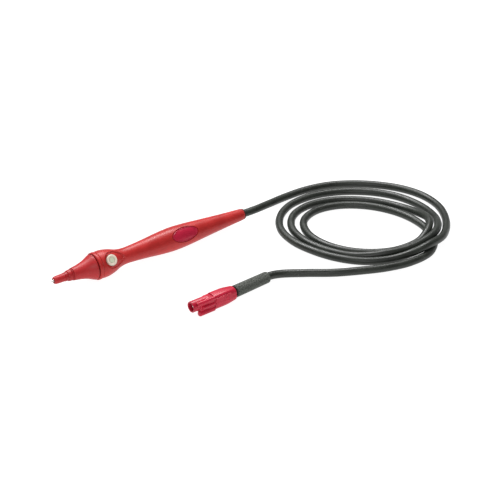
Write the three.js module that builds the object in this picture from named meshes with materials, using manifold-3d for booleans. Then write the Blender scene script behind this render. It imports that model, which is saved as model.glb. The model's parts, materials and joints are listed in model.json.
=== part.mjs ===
// A hand-held remote-switch test probe with its lead and keyed 4 mm plug.
// Millimetres, +Z up, the table is z = 0. The probe lies along X with its point at -X, and the origin is
// under the middle of the probe, on the table. The lead and the plug lie on the table beside it.
import * as THREE from "three";
import { mergeVertices } from "three/addons/utils/BufferGeometryUtils.js";
import Module from "manifold-3d";

const wasm = await Module();
wasm.setup();

// ---------------------------------------------------------------- driving dimensions
const GAP = 0.3; // clearance between pieces that touch
const SIDES = 24; // sides of a round piece
const FEW_SIDES = 16; // sides of a small round piece
const FAR = 20; // reach of a cutting tool past the work
const ROLL = THREE.MathUtils.degToRad(55); // how far the push button leans from straight up, towards -Y

const CORD = { radius: 3, sides: 8, steps: 80 };

// The probe is drawn along its own axis: x runs from the metal point to the cable, z towards the button.
const PIN = { reach: 2.1, point: 2.2, needleRadius: 1, shoulder: 14, radius: 2, tail: 0.8 };
const CAP = { length: 15, collar: 4, tubeRadius: 3, wall: 1.2, groove: 0.35 };
const NECK = { length: 6.2, wall: 0.7 }; // spigot on the nose that the tip cap slides over
const NOSE = { length: 17.5, frontRadius: 4.7, seat: 4.15, spigotRadius: 5.4, spigotReach: 1.5 };
// The nose's flare: [share of its length, share of the rise from its front radius to its base].
const NOSE_FLARE = [
  [0.27, 0.13],
  [0.46, 0.27],
  [0.64, 0.45],
  [0.74, 0.6],
  [0.83, 0.76],
  [0.91, 0.9],
];
const SEAL = { width: 0.9, wire: 0.2 };
const GUARD = { length: 2.6, wall: 2.15 };
const BUSH = { length: 2.9, rim: 0.7 };
const TERMINAL = { length: 4, radius: 1.5, bore: 1 };
const HANDLE = { length: 132.3, spigot: 1.7, spigotWall: 1.5, wall: 2, tailWall: 0.4 };
// The handle's outline: [mm behind the shoulder, radius] for the swelling that carries the button, then
// [share of the grip's length, radius] for the waist, the palm and the slim tail.
const SWELLING = [
  [7.7, 9.8],
  [12.2, 8.7],
  [16.7, 7.1],
  [21.7, 6.2],
];
const GRIP = [
  [0.051, 6.15],
  [0.174, 7.05],
  [0.296, 8.35],
  [0.404, 9],
  [0.516, 8.5],
  [0.659, 7.2],
  [0.822, 5.75],
];

const BUTTON = { radius: 4.3, proud: 1, wall: 0.8, roof: 0.7, floor: 1, rim: 1.6, travel: 0.8 };
const BUTTON_LIP = { width: 0.2, thickness: 0.6 }; // keeps the button in the handle
const RECESS = { depth: 1.5, margin: 1.6, tail: 12 }; // teardrop flat around the button
const BOARD = { bottom: 1.9, thickness: 1.2, rib: 1.2, notch: 2.1 };
const PLUNGER = { radius: 1.55, guide: 0.35 };
const RESISTOR = { length: 1.8, width: 1.4, height: 0.6 };

const BADGE = { place: 0.472, halfLength: 11.4, halfWidth: 5.1, sunk: 0.3, thickness: 0.7 };
const SCREW = { front: 38.7, rear: 21, shank: 0.9, head: 1.9, headHeight: 1, sunk: 2.3, cover: 3.3, rim: 0.4 };
const FERRULE = { inset: 25, length: 5.6, wall: 0.6, bared: 1.7 };
const GROMMET = { reach: 5, proud: 1.6, wall: 0.3, flange: 0.5 };
const CORES = { tip: 0.65, signal: 0.45, spread: 0.75 };

// The plug is drawn along its pin: x runs from the shroud's face to the cable.
const PLUG_REAR = { x: 11, y: -83.4 }; // where the plug's rear face stands
const SHROUD = { wall: 1.05, bore: 3.05, depth: 12 };
const PLUG_PIN = { radius: 1.3, front: 1.6, cup: 5.4, cupWall: 0.55, cupDepth: 3 };
const PLUG_CORE = { radius: 0.6, steps: 6 };
const CAGE = { front: 2.8, length: 8.2, radius: 2, wall: 0.18 };
const BARREL = { y: -4.7, z: 3.4, front: 2, radius: 1.5, bore: 1, depth: 9.5 };
const PRONG = { y: -3.8, z: -5.2, front: 4, radius: 2.05 };
const BLOCK = { floor: 0.8, length: 4.4, spigot: 2.4, step: 0.4 };
const HOUSING = { shell: 9.5, taper: 9.4, wall: 1.3, endWall: 2.4, split: -1.2, tailRadius: 5.1 };
// Cross-section of the plug's body about the pin's axis, [y, z].
const PLUG_SECTION = [
  [4.7, 1.6],
  [3.2, 3.9],
  [-3.5, 4.4],
  [-5.2, 2.9],
  [-5.3, -2.9],
  [-3.8, -7.1],
  [1.6, -7.1],
  [4.1, -4.2],
];
const CORNER_CUT = 0.22; // share of a side that each corner's cut takes
const PLUG_SCREW = { back: 6, y: 1.6, shank: 0.8, head: 1.6, headHeight: 0.9, sunk: 1.7, rim: 0.1 };
const LEAD_OFFSET = { y: -0.7, z: -1.3 }; // where the lead enters, from the pin's axis
const LEAD_REACH = 4; // how far the lead runs on inside the plug
const SLEEVE = { wall: 1.1, taper: 0.25, lift: 0.25 };
const SLEEVE_MOUTH = { x: 44.1, y: -80.9 }; // where the lead comes out of the sleeve

// The lead's route over the table, [x, y, z]: out of the handle, three and a half loose turns, and away.
const ROUTE = [
  [98.4, 0.6, 7], [114.9, 4.2, 5], [134.9, 7.5, 3.3], [154.4, 7, 3], [173.9, 2, 3],
  [190.9, -8, 3], [205.4, -22, 3], [216.4, -39, 3], [221.4, -58, 3], [218.9, -77.5, 3.2],
  [209.4, -95, 3.7], [195.4, -110, 5], [179.9, -120.5, 7.5], [165.4, -124, 9], [150.4, -122.5, 6.5],
  [132.4, -116, 3.6], [115.4, -105, 3], [103.4, -89, 3], [96.4, -70, 3], [93.9, -50, 3],
  [98.4, -30.5, 3], [110.4, -15, 3], [127.4, -5.5, 3], [147.4, -3.5, 3], [166.9, -8.5, 3],
  [183.9, -19, 3], [197.4, -33.5, 3], [205.9, -51.5, 3], [207.4, -71.5, 3.5], [201.9, -90.5, 5],
  [190.4, -106, 8], [177.9, -114.5, 9.2], [163.4, -117, 8], [148.4, -116, 6.8], [134.4, -111, 6],
  [121.9, -102.5, 4.2], [111.9, -91, 3], [103.9, -73.5, 3], [101.4, -53.5, 3], [106.4, -34, 3],
  [119.4, -20, 3], [137.9, -14.5, 3], [157.4, -18.5, 3], [173.9, -29.5, 3], [186.9, -45, 3],
  [194.4, -63.5, 3.6], [194.9, -82.5, 6.2], [189.9, -96.5, 9.2], [179.4, -106.5, 8.5], [165.9, -111, 5],
  [146.9, -109, 3.2], [129.4, -100.5, 3], [116.4, -86.5, 3], [109.4, -68, 3], [110.4, -48, 3],
  [120.4, -31.5, 3], [138.4, -24.5, 3], [157.4, -28.5, 3], [173.4, -41, 3], [183.9, -58, 3],
  [188.4, -77, 3], [186.4, -97, 3], [177.9, -115, 3], [162.4, -126, 3], [142.4, -127.5, 3],
  [122.9, -122.5, 3], [104.9, -114, 3], [87.4, -104, 3], [70.9, -91.5, 3], [55.9, -82, 3.4],
];


// ---------------------------------------------------------------- what follows from them
const cordBore = CORD.radius + GAP;

const capRear = PIN.reach + CAP.length;
const noseFront = capRear + GAP;
const noseBase = noseFront + NOSE.length;
const guardFront = noseBase + SEAL.width;
const guardRear = guardFront + GUARD.length;
const shoulder = guardRear + GAP;
const handleFront = shoulder - HANDLE.spigot;
const handleRear = shoulder + HANDLE.length;
const noseEnd = handleFront + NOSE.spigotReach;
const bushFront = noseEnd + GAP;
const bushRear = bushFront + BUSH.length;
const mouthEnd = bushRear + 2 * GAP;
const pinEnd = bushRear - PIN.tail;

const pinBore = PIN.radius + GAP;
const neckRadius = pinBore + NECK.wall;
const capSocket = neckRadius + GAP;
const collarRadius = capSocket + CAP.wall;
const neckFront = noseFront - NECK.length;
const bushRadius = NOSE.spigotRadius + BUSH.rim;
const mouthRadius = bushRadius + GAP;
const spigotRadius = mouthRadius + HANDLE.spigotWall;
const guardRadius = spigotRadius + GAP + GUARD.wall;

const grommetRadius = cordBore + GROMMET.wall;
const grommetRear = handleRear + GROMMET.proud;
const tailRadius = grommetRadius + GAP + HANDLE.tailWall;
const ferruleRadius = cordBore + FERRULE.wall;
const ferruleFront = handleRear - FERRULE.inset;
const ferruleRear = ferruleFront + FERRULE.length;
const innerCableFront = ferruleFront - FERRULE.bared;

const gripFront = shoulder + SWELLING.at(-1)[0];
const alongGrip = (share) => THREE.MathUtils.lerp(gripFront, handleRear, share);
const HANDLE_OUTLINE = [
  [shoulder, guardRadius - GAP],
  [shoulder + 3.7, guardRadius - GAP / 3],
  ...SWELLING.map(([x, r]) => [shoulder + x, r]),
  ...GRIP.map(([share, r]) => [alongGrip(share), r]),
  [alongGrip(0.93), tailRadius + 0.6],
  [alongGrip(0.975), tailRadius + 0.3],
  [handleRear, tailRadius],
];

const lipRadius = BUTTON.radius + GAP + BUTTON_LIP.width;
const buttonX = mouthEnd + lipRadius - 0.1;
const recessFloor = handleRadius(buttonX) - RECESS.depth;
const buttonTop = recessFloor + BUTTON.proud;
const buttonCeiling = buttonTop - BUTTON.roof - BUTTON.floor;
const boardTop = BOARD.bottom + BOARD.thickness;
const skirt = boardTop + BUTTON.travel + 0.7;
const switchFloor = boardTop + GAP;
const switchTop = buttonCeiling - BUTTON.travel - 3 * GAP + 0.1;
const switchHalf = (BUTTON.radius - BUTTON.wall - GAP) / Math.SQRT2;
const resistorFront = buttonX + lipRadius + GAP;
const boardFront = mouthEnd + GAP;
const boardRear = resistorFront + RESISTOR.length + 0.4;
// The board's corners clear the shell's inside, whose round is drawn with few flats.
const boardRoom = (handleRadius(boardRear) - HANDLE.wall) * Math.cos(Math.PI / FEW_SIDES) - GAP;
const boardHalf = Math.sqrt(boardRoom ** 2 - boardTop ** 2);

const screwPlaces = [shoulder + SCREW.front, ferruleFront - SCREW.rear];
const bossRadius = SCREW.head + GAP + SCREW.rim;
const badgeX = alongGrip(BADGE.place);

const shroudRadius = SHROUD.bore + SHROUD.wall;
const blockFront = SHROUD.depth + BLOCK.floor;
const blockRear = blockFront + BLOCK.length;
const plugSpigotEnd = blockRear + BLOCK.spigot;
const housingFront = blockRear + GAP;
const taperFront = housingFront + HOUSING.shell;
const housingRear = taperFront + HOUSING.taper;
const cupBore = PLUG_CORE.radius + 2 * GAP;
const cupRadius = Math.max(cupBore, PLUG_PIN.radius) + PLUG_PIN.cupWall;
const plugPinRear = plugSpigotEnd + PLUG_PIN.cup;
const plugFloor = Math.min(...PLUG_SECTION.map(([, z]) => z), PRONG.z - PRONG.radius);
const plugAt = new THREE.Vector3(PLUG_REAR.x - housingRear, PLUG_REAR.y, -plugFloor);
const leadIn = plugAt.clone().add(new THREE.Vector3(housingRear, LEAD_OFFSET.y, LEAD_OFFSET.z));
const sleeveBore = cordBore + 0.1;
const sleeveRadius = sleeveBore + SLEEVE.wall;
const sleeveEndRadius = sleeveRadius - SLEEVE.taper;
const sleeveMouth = new THREE.Vector3(SLEEVE_MOUTH.x, SLEEVE_MOUTH.y, sleeveEndRadius + SLEEVE.lift);
const leadLength = leadIn.distanceTo(sleeveMouth);

// ---------------------------------------------------------------- materials
function plastic(color, roughness) {
  return new THREE.MeshStandardMaterial({ color, roughness, metalness: 0 });
}

function metal(color, roughness) {
  return new THREE.MeshStandardMaterial({ color, roughness, metalness: 1 });
}

const RED = plastic(0xb23a3d, 0.42);
const PLUG_RED = plastic(0xb83a4c, 0.45);
const BADGE_RED = plastic(0xb02a3e, 0.35);
const IVORY = plastic(0xe9e2d6, 0.4);
const PALE_GREEN = plastic(0xc9d3c4, 0.35);
const BLACK_JACKET = plastic(0x2b2d2b, 0.45);
const SLEEVE_GREY = plastic(0x4c504b, 0.85);
const BLACK_RUBBER = plastic(0x1f1f1f, 0.7);
const BOARD_GREEN = plastic(0x2f6b41, 0.5);
const DARK_PLASTIC = plastic(0x26282a, 0.5);
const WIRE_RED = plastic(0xa8322f, 0.5);
const WIRE_BLUE = plastic(0x2f4f8f, 0.5);
const WIRE_WHITE = plastic(0xd9d9d4, 0.5);
const NICKEL = metal(0xc8c8c4, 0.28);
const BRASS = metal(0xc9a860, 0.35);
const STEEL = metal(0x9da0a3, 0.35);

// ---------------------------------------------------------------- solids
function solid(geometry) {
  const bare = geometry.index ? geometry.toNonIndexed() : geometry.clone();
  bare.deleteAttribute("normal");
  bare.deleteAttribute("uv");
  const merged = mergeVertices(bare, 1e-4);
  return new wasm.Manifold(
    new wasm.Mesh({
      numProp: 3,
      vertProperties: new Float32Array(merged.attributes.position.array),
      triVerts: new Uint32Array(merged.index.array),
    }),
  );
}

function geometryOf(shape) {
  const mesh = shape.getMesh();
  const geometry = new THREE.BufferGeometry();
  geometry.setAttribute("position", new THREE.BufferAttribute(new Float32Array(mesh.vertProperties), 3));
  geometry.setIndex(new THREE.BufferAttribute(new Uint32Array(mesh.triVerts), 1));
  const flat = geometry.toNonIndexed();
  flat.computeVertexNormals();
  return flat;
}

// A solid of revolution about X from [x, r] points in order of growing x along the outside.
function turned(points, sides = SIDES) {
  const outline = points.map(([x, r]) => new THREE.Vector2(r, x));
  const closed = points[0][1] > 0 || points.at(-1)[1] > 0;
  if (closed) outline.push(outline[0].clone());
  const geometry = new THREE.LatheGeometry(outline, sides);
  geometry.rotateZ(-Math.PI / 2);
  const shape = solid(geometry);
  if (shape.volume() > 0) return shape;
  return solid(new THREE.LatheGeometry(outline.reverse(), sides).rotateZ(-Math.PI / 2));
}

function rod(from, to, radius, sides = SIDES) {
  return turned([[from, 0], [from, radius], [to, radius], [to, 0]], sides);
}

function tube(from, to, inner, outer, sides = SIDES) {
  return turned([[from, inner], [from, outer], [to, outer], [to, inner]], sides);
}

function box(x0, x1, y0, y1, z0, z1) {
  const geometry = new THREE.BoxGeometry(x1 - x0, y1 - y0, z1 - z0);
  geometry.translate((x0 + x1) / 2, (y0 + y1) / 2, (z0 + z1) / 2);
  return solid(geometry);
}

// A solid of revolution about an upright axis at x, y from [r, z] points.
function turnedUp(points, x = 0, y = 0, sides = SIDES) {
  const upright = turned(points.map(([r, z]) => [z, r]), sides);
  return upright.rotate([0, -90, 0]).translate([x, y, 0]);
}

function post(x, y, z0, z1, radius, sides = SIDES) {
  return turnedUp([[0, z0], [radius, z0], [radius, z1], [0, z1]], x, y, sides);
}

function prism(shape, z0, z1) {
  const geometry = new THREE.ExtrudeGeometry(shape, {
    depth: z1 - z0,
    bevelEnabled: false,
    curveSegments: 8,
  });
  geometry.translate(0, 0, z0);
  return solid(geometry);
}

// A closed skin through loops of points, each loop with the same number of points.
function loft(loops) {
  const count = loops[0].length;
  const vertices = loops.flat().flatMap((p) => p.toArray());
  const faces = [];
  for (let ring = 0; ring + 1 < loops.length; ring++) {
    for (let i = 0; i < count; i++) {
      const a = ring * count + i;
      const b = ring * count + ((i + 1) % count);
      faces.push(a, b, a + count, b, b + count, a + count);
    }
  }
  const last = (loops.length - 1) * count;
  for (let i = 1; i + 1 < count; i++) {
    faces.push(0, i + 1, i, last, last + i, last + i + 1);
  }
  const geometry = new THREE.BufferGeometry();
  geometry.setAttribute("position", new THREE.Float32BufferAttribute(vertices, 3));
  geometry.setIndex(faces);
  const shape = solid(geometry);
  if (shape.volume() > 0) return shape;
  geometry.setIndex(faces.reverse());
  return solid(geometry);
}

function cordGeometry(curve, radius, sides, steps) {
  const section = new THREE.Shape();
  for (let i = 0; i < sides; i++) {
    const angle = (2 * Math.PI * (i + 0.5)) / sides;
    const x = radius * Math.cos(angle);
    const y = radius * Math.sin(angle);
    if (i === 0) section.moveTo(x, y);
    else section.lineTo(x, y);
  }
  section.closePath();
  return new THREE.ExtrudeGeometry(section, { steps, extrudePath: curve, bevelEnabled: false });
}

function wire(points, radius, steps) {
  const curve = new THREE.CatmullRomCurve3(points.map((p) => new THREE.Vector3(...p)));
  return cordGeometry(curve, radius, 6, steps);
}

function named(name, shape, material) {
  const mesh = new THREE.Mesh(shape.isBufferGeometry ? shape : geometryOf(shape), material);
  mesh.name = name;
  return mesh;
}

// ---------------------------------------------------------------- handle
// Radius of the handle's outside at x: a smooth curve through the outline's points.
function handleRadius(x) {
  const knots = HANDLE_OUTLINE;
  const last = knots.length - 1;
  if (x <= knots[0][0]) return knots[0][1];
  if (x >= knots[last][0]) return knots[last][1];
  const i = knots.findIndex((k, n) => n < last && x < knots[n + 1][0]);
  const slope = (n) => {
    const a = knots[Math.max(n - 1, 0)];
    const b = knots[Math.min(n + 1, last)];
    return (b[1] - a[1]) / (b[0] - a[0]);
  };
  const [x0, r0] = knots[i];
  const [x1, r1] = knots[i + 1];
  const span = x1 - x0;
  const t = (x - x0) / span;
  return (
    r0 * (1 + 2 * t) * (1 - t) ** 2 +
    slope(i) * span * t * (1 - t) ** 2 +
    r1 * t * t * (3 - 2 * t) +
    slope(i + 1) * span * t * t * (t - 1)
  );
}

// Places along the handle between two ends, a step apart or less.
function stations(from, to, step) {
  const between = HANDLE_OUTLINE.map(([x]) => x).filter((x) => x > from + 1 && x < to - 1);
  return [...between, to].reduce((places, x) => {
    const start = places.at(-1);
    const parts = Math.ceil((x - start) / step);
    for (let i = 1; i <= parts; i++) places.push(start + ((x - start) * i) / parts);
    return places;
  }, [from]);
}

// The handle's outside, drawn in by an offset, from one x to another.
function handleSkin(offset, from, to, step = 7, sides = SIDES) {
  const profile = stations(from, to, step).map((x) => [x, Math.max(handleRadius(x) + offset, cordBore)]);
  return turned([[from, 0], ...profile, [to, 0]], sides);
}

function ellipse(x, halfLength, halfWidth) {
  return new THREE.Shape().absellipse(x, 0, halfLength, halfWidth, 0, 2 * Math.PI);
}

function teardrop() {
  const radius = BUTTON.radius + RECESS.margin;
  const { tail } = RECESS;
  const shape = new THREE.Shape();
  shape.moveTo(buttonX, -radius);
  shape.absarc(buttonX, 0, radius, 1.5 * Math.PI, 0.5 * Math.PI, true);
  shape.quadraticCurveTo(buttonX + tail * 0.6, radius, buttonX + tail, 0);
  shape.quadraticCurveTo(buttonX + tail * 0.6, -radius, buttonX, -radius);
  return shape;
}

// Rooms inside the two shells: the mouth for the nose, the hollow grip, and seats for ferrule and grommet.
function handleHollow() {
  return handleSkin(-HANDLE.wall, mouthEnd, handleRear + 1, 20, FEW_SIDES)
    .add(rod(handleFront - 1, mouthEnd + 0.1, mouthRadius))
    .add(rod(ferruleFront - GAP, ferruleRear + GAP, ferruleRadius + GAP, FEW_SIDES))
    .add(rod(handleRear - GROMMET.reach - 1, handleRear + 1, grommetRadius + GAP, FEW_SIDES));
}

function handleShells() {
  const outside = handleSkin(0, shoulder, handleRear).add(rod(handleFront, shoulder + 1, spigotRadius));
  let body = outside.subtract(handleHollow());
  for (const x of screwPlaces) {
    const { floor, tip } = screwHeights(x);
    body = body
      .add(post(x, 0, -FAR, FAR, bossRadius).intersect(outside))
      .subtract(post(x, 0, -FAR, floor, SCREW.head + GAP))
      .subtract(post(x, 0, -FAR, tip + GAP, SCREW.shank + GAP));
  }
  const pocket = prism(ellipse(badgeX, BADGE.halfLength + GAP, BADGE.halfWidth + GAP), 0, FAR);
  const pocketDepth = BADGE.sunk + BADGE.thickness + GAP;
  body = body
    .subtract(pocket.subtract(handleSkin(-pocketDepth, shoulder, handleRear)))
    .subtract(prism(teardrop(), recessFloor, FAR))
    .subtract(post(buttonX, 0, GAP, FAR, BUTTON.radius + GAP))
    .subtract(post(buttonX, 0, GAP, skirt + BUTTON_LIP.thickness + GAP, lipRadius + GAP));

  const end = handleRear + FAR;
  const upper = body.intersect(box(0, end, -FAR, FAR, GAP / 2, FAR));
  const lower = body.intersect(box(0, end, -FAR, FAR, -FAR, -GAP / 2));
  return { upper, lower: lower.add(boardRibs().intersect(outside)) };
}

// Two ribs in the lower shell that the switch board stands on, notched for the wires.
function boardRibs() {
  const { rib, notch } = BOARD;
  const top = BOARD.bottom - GAP;
  const low = -handleRadius(buttonX) * 0.35;
  const at = (x) =>
    box(x, x + rib, -FAR / 2, FAR / 2, -FAR / 2, -GAP / 2)
      .add(box(x, x + rib, -boardHalf, boardHalf, -1, top))
      .subtract(box(x - 1, x + rib + 1, -notch, notch, low, top + 1));
  return at(boardFront + 1.7).add(at(buttonX + switchHalf - 0.4));
}

// Where a shell screw's head seats and its thread ends, in the shell's thickness at x.
function screwHeights(x) {
  return { floor: SCREW.sunk - handleRadius(x), tip: handleRadius(x) - SCREW.cover };
}

function guardRing() {
  const inner = NOSE.spigotRadius + GAP;
  const socket = spigotRadius + GAP;
  const r = guardRadius;
  const profile = [
    [guardFront, inner],
    [guardFront, r - 0.9],
    [guardFront + 0.5, r - 0.3],
    [guardFront + 1.1, r],
    [guardRear - 0.4, r],
    [guardRear, r - 0.3],
    [guardRear, socket],
    [handleFront - GAP, socket],
    [handleFront - GAP, inner],
  ];
  return turned(profile);
}

function noseCone() {
  const baseRadius = NOSE.spigotRadius + NOSE.seat;
  return turned([
    [neckFront, pinBore],
    [neckFront, neckRadius],
    [noseFront, neckRadius],
    [noseFront, NOSE.frontRadius],
    ...NOSE_FLARE.map(([share, rise]) => [
      noseFront + share * NOSE.length,
      THREE.MathUtils.lerp(NOSE.frontRadius, baseRadius, rise),
    ]),
    [noseBase - 0.4, baseRadius],
    [noseBase, baseRadius - 0.3],
    [noseBase, NOSE.spigotRadius],
    [noseEnd, NOSE.spigotRadius],
    [noseEnd, pinBore],
  ]);
}

function noseSeal() {
  const middle = (noseBase + guardFront) / 2;
  const geometry = new THREE.TorusGeometry(NOSE.spigotRadius + GAP + SEAL.wire, SEAL.wire, 5, SIDES);
  return solid(geometry.rotateY(Math.PI / 2)).translate([middle, 0, 0]);
}

function tipCap() {
  const bore = PIN.needleRadius + GAP + 0.05;
  const collarFront = capRear - CAP.collar;
  const sides = 20;
  const front = PIN.reach;
  let cap = turned([
    [front, bore],
    [front, CAP.tubeRadius - 0.9],
    [front + 1.1, CAP.tubeRadius - 0.2],
    [front + 3, CAP.tubeRadius],
    [collarFront - 2, CAP.tubeRadius + 0.15],
    [collarFront, collarRadius - 0.75],
    [capRear - 0.4, collarRadius],
    [capRear, collarRadius - 0.15],
    [capRear, capSocket],
    [neckFront - GAP, capSocket],
    [neckFront - GAP, bore],
  ], sides);
  for (const x of [1.2, 2.7]) {
    const skin = collarRadius - 0.75 * (1 - x / CAP.collar);
    cap = cap.subtract(tube(collarFront + x, collarFront + x + 0.6, skin - CAP.groove, skin + 1, sides));
  }
  return cap;
}

function tipPin() {
  return turned([
    [0, 0],
    [PIN.point / 4, PIN.needleRadius / 3],
    [PIN.point, PIN.needleRadius],
    [PIN.shoulder, PIN.needleRadius],
    [PIN.shoulder + 0.6, PIN.radius],
    [pinEnd, PIN.radius],
    [pinEnd, 0],
  ], FEW_SIDES);
}

function tipTerminal() {
  const { length, radius, bore } = TERMINAL;
  const front = pinEnd + GAP;
  return turned([
    [front, 0],
    [front, radius],
    [front + length, radius],
    [front + length, bore],
    [front + 1, bore],
    [front + 1, 0],
  ], FEW_SIDES);
}

function buttonCap() {
  const { radius, wall, rim } = BUTTON;
  const flange = BUTTON_LIP.thickness;
  const floor = buttonTop - BUTTON.roof;
  const dish = radius - rim;
  return turnedUp(
    [
      [0, buttonCeiling],
      [radius - wall, buttonCeiling],
      [radius - wall, skirt],
      [lipRadius, skirt],
      [lipRadius, skirt + flange],
      [radius, skirt + flange],
      [radius, buttonTop - 0.5],
      [radius - 0.5, buttonTop],
      [dish + 0.2, buttonTop],
      [dish, floor],
      [0, floor],
    ],
    buttonX,
  );
}

function buttonInlay() {
  const under = buttonTop - BUTTON.roof + GAP;
  const radius = BUTTON.radius - BUTTON.rim - GAP;
  return turnedUp([[0, under], [radius, under], [radius, under + 0.3], [0, under + 0.15]], buttonX);
}

function switchParts() {
  const { radius, guide } = PLUNGER;
  const { travel } = BUTTON;
  const half = switchHalf;
  const hole = post(buttonX, 0, switchTop - 2 * travel - 2 * GAP, FAR, radius + guide);
  const body = box(buttonX - half, buttonX + half, -half, half, switchFloor, switchTop).subtract(hole);
  const plunger = post(buttonX, 0, switchTop - travel - GAP, buttonCeiling - GAP, radius);
  const board = box(boardFront, boardRear, -boardHalf, boardHalf, BOARD.bottom, boardTop);
  const { length, width, height } = RESISTOR;
  const across = width / 2;
  const resistor = box(
    resistorFront, resistorFront + length, -across, across, boardTop + GAP, boardTop + GAP + height,
  );
  return [
    named("switch_plunger", plunger, DARK_PLASTIC),
    named("switch_body", body, DARK_PLASTIC),
    named("switch_board", board, BOARD_GREEN),
    named("coding_resistor", resistor, DARK_PLASTIC),
  ];
}

function probe() {
  const group = new THREE.Group();
  const shells = handleShells();
  const bush = tube(bushFront, bushRear, pinBore, bushRadius);
  const innerCable = rod(innerCableFront, grommetRear - 2 * GAP, CORD.radius);
  group.add(
    named("handle_shell_upper", shells.upper, RED),
    named("handle_shell_lower", shells.lower, RED),
    named("guard_ring", guardRing(), RED),
    named("nose_cone", noseCone(), RED),
    named("nose_seal", noseSeal(), BLACK_RUBBER),
    named("tip_cap", tipCap(), RED),
    named("tip_pin", tipPin(), NICKEL),
    named("tip_bush", bush, DARK_PLASTIC),
    named("tip_terminal", tipTerminal(), BRASS),
    named("button_cap", buttonCap(), IVORY),
    named("button_inlay", buttonInlay(), PALE_GREEN),
    ...switchParts(),
    named("badge_plate", badgePlate(), BADGE_RED),
    named("cable_ferrule", tube(ferruleFront, ferruleRear, cordBore, ferruleRadius), NICKEL),
    named("inner_cable", innerCable, BLACK_JACKET),
    named("rear_grommet", rearGrommet(), BLACK_RUBBER),
    ...screwPlaces.map((x, i) => named(`shell_screw_${i + 1}`, shellScrew(x), STEEL)),
    ...coreWires(),
  );
  return group;
}

// A blank oval plate that follows the handle's curve and lies just under its surface.
function badgePlate() {
  const outer = handleSkin(-BADGE.sunk, shoulder, handleRear);
  const inner = handleSkin(-BADGE.sunk - BADGE.thickness, shoulder, handleRear);
  const oval = prism(ellipse(badgeX, BADGE.halfLength, BADGE.halfWidth), 0, FAR);
  return outer.subtract(inner).intersect(oval);
}

function rearGrommet() {
  const front = handleRear - GROMMET.reach;
  const flange = grommetRadius + GROMMET.flange;
  return turned([
    [front, cordBore],
    [front, grommetRadius],
    [handleRear + GAP, grommetRadius],
    [handleRear + GAP, flange],
    [grommetRear - 0.5, flange - 0.2],
    [grommetRear, flange - 0.5],
    [grommetRear, cordBore],
  ], FEW_SIDES);
}

// The screw's head sits in the lower shell and its thread in the upper shell's boss.
function shellScrew(x) {
  const { shank, head, headHeight } = SCREW;
  const { floor, tip } = screwHeights(x);
  const under = floor - GAP;
  const end = under - headHeight;
  const profile = [[0, end], [head, end], [head, under], [shank, under], [shank, tip], [0, tip]];
  return turnedUp(profile, x, 0, FEW_SIDES).subtract(post(x, 0, -FAR, under - 0.4, 0.8, 6));
}

// Three cores run from the tip's terminal and the board to the cable, past the screws' bosses.
function coreWires() {
  const end = innerCableFront - GAP;
  const [first, second] = screwPlaces;
  const middle = (first + second) / 2;
  const lane = (radius) => bossRadius + GAP + radius + 0.1;
  const tipLane = lane(CORES.tip);
  const tip = [
    [pinEnd + 2 * GAP + 1, 0, 0], [buttonX, 0, -0.4], [boardRear, 0, -1.4], [boardRear + 8, 1.2, -0.8],
    [first - 8, 3, 0], [first, tipLane, 0], [first + 8, tipLane - 0.3, 0], [middle, 2.2, 0],
    [second - 9, tipLane - 0.3, 0], [second, tipLane, 0], [second + 9, 3, 0], [end, 1.3, 0],
  ];
  const signalLane = -lane(CORES.signal);
  const signal = (z) => [
    [boardRear - 1, -1.6 + z * 0.2, 0.3 + 0.75 * z], [boardRear + 3, -1.8, 0.9 * z],
    [boardRear + 9, -1.8, z], [first - 8, signalLane + 0.5, z], [first, signalLane - 0.2, z],
    [first + 8, signalLane, z], [middle, -2.2, z], [second - 9, signalLane, z],
    [second, signalLane - 0.2, z], [second + 9, signalLane + 0.5, z], [end, -1.2, z],
  ];
  const steps = 18;
  return [
    named("core_tip", wire(tip, CORES.tip, steps), WIRE_RED),
    named("core_switch_a", wire(signal(CORES.spread), CORES.signal, steps), WIRE_BLUE),
    named("core_switch_b", wire(signal(-CORES.spread), CORES.signal, steps), WIRE_WHITE),
  ];
}

// ---------------------------------------------------------------- plug
// The body's cross-section at x, drawn in by an inset, with each corner cut into two points.
function plugLoop(x, inset, round) {
  const centre = new THREE.Vector2(-0.6, HOUSING.split - 0.4);
  const corners = PLUG_SECTION.map(([y, z]) => new THREE.Vector2(y, z));
  const points = corners.flatMap((corner, i) => {
    const sides = [corners.at(i - 1), corners[(i + 1) % corners.length]];
    return sides.map((other) => corner.clone().lerp(other, CORNER_CUT));
  });
  return points.map((p) => {
    const out = p.clone().sub(centre);
    const reach = THREE.MathUtils.lerp(out.length(), HOUSING.tailRadius, round) - inset;
    const at = centre.clone().add(out.setLength(reach));
    return new THREE.Vector3(x, at.x, at.y);
  });
}

function housingSkin(inset, from, to) {
  const between = [taperFront, (taperFront + housingRear) / 2].filter((x) => x > from && x < to);
  const places = [from, ...between, to];
  const round = (x) => THREE.MathUtils.clamp((x - taperFront) / HOUSING.taper, 0, 1) ** 1.5;
  return loft(places.map((x) => plugLoop(x, inset, round(x))));
}

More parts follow.
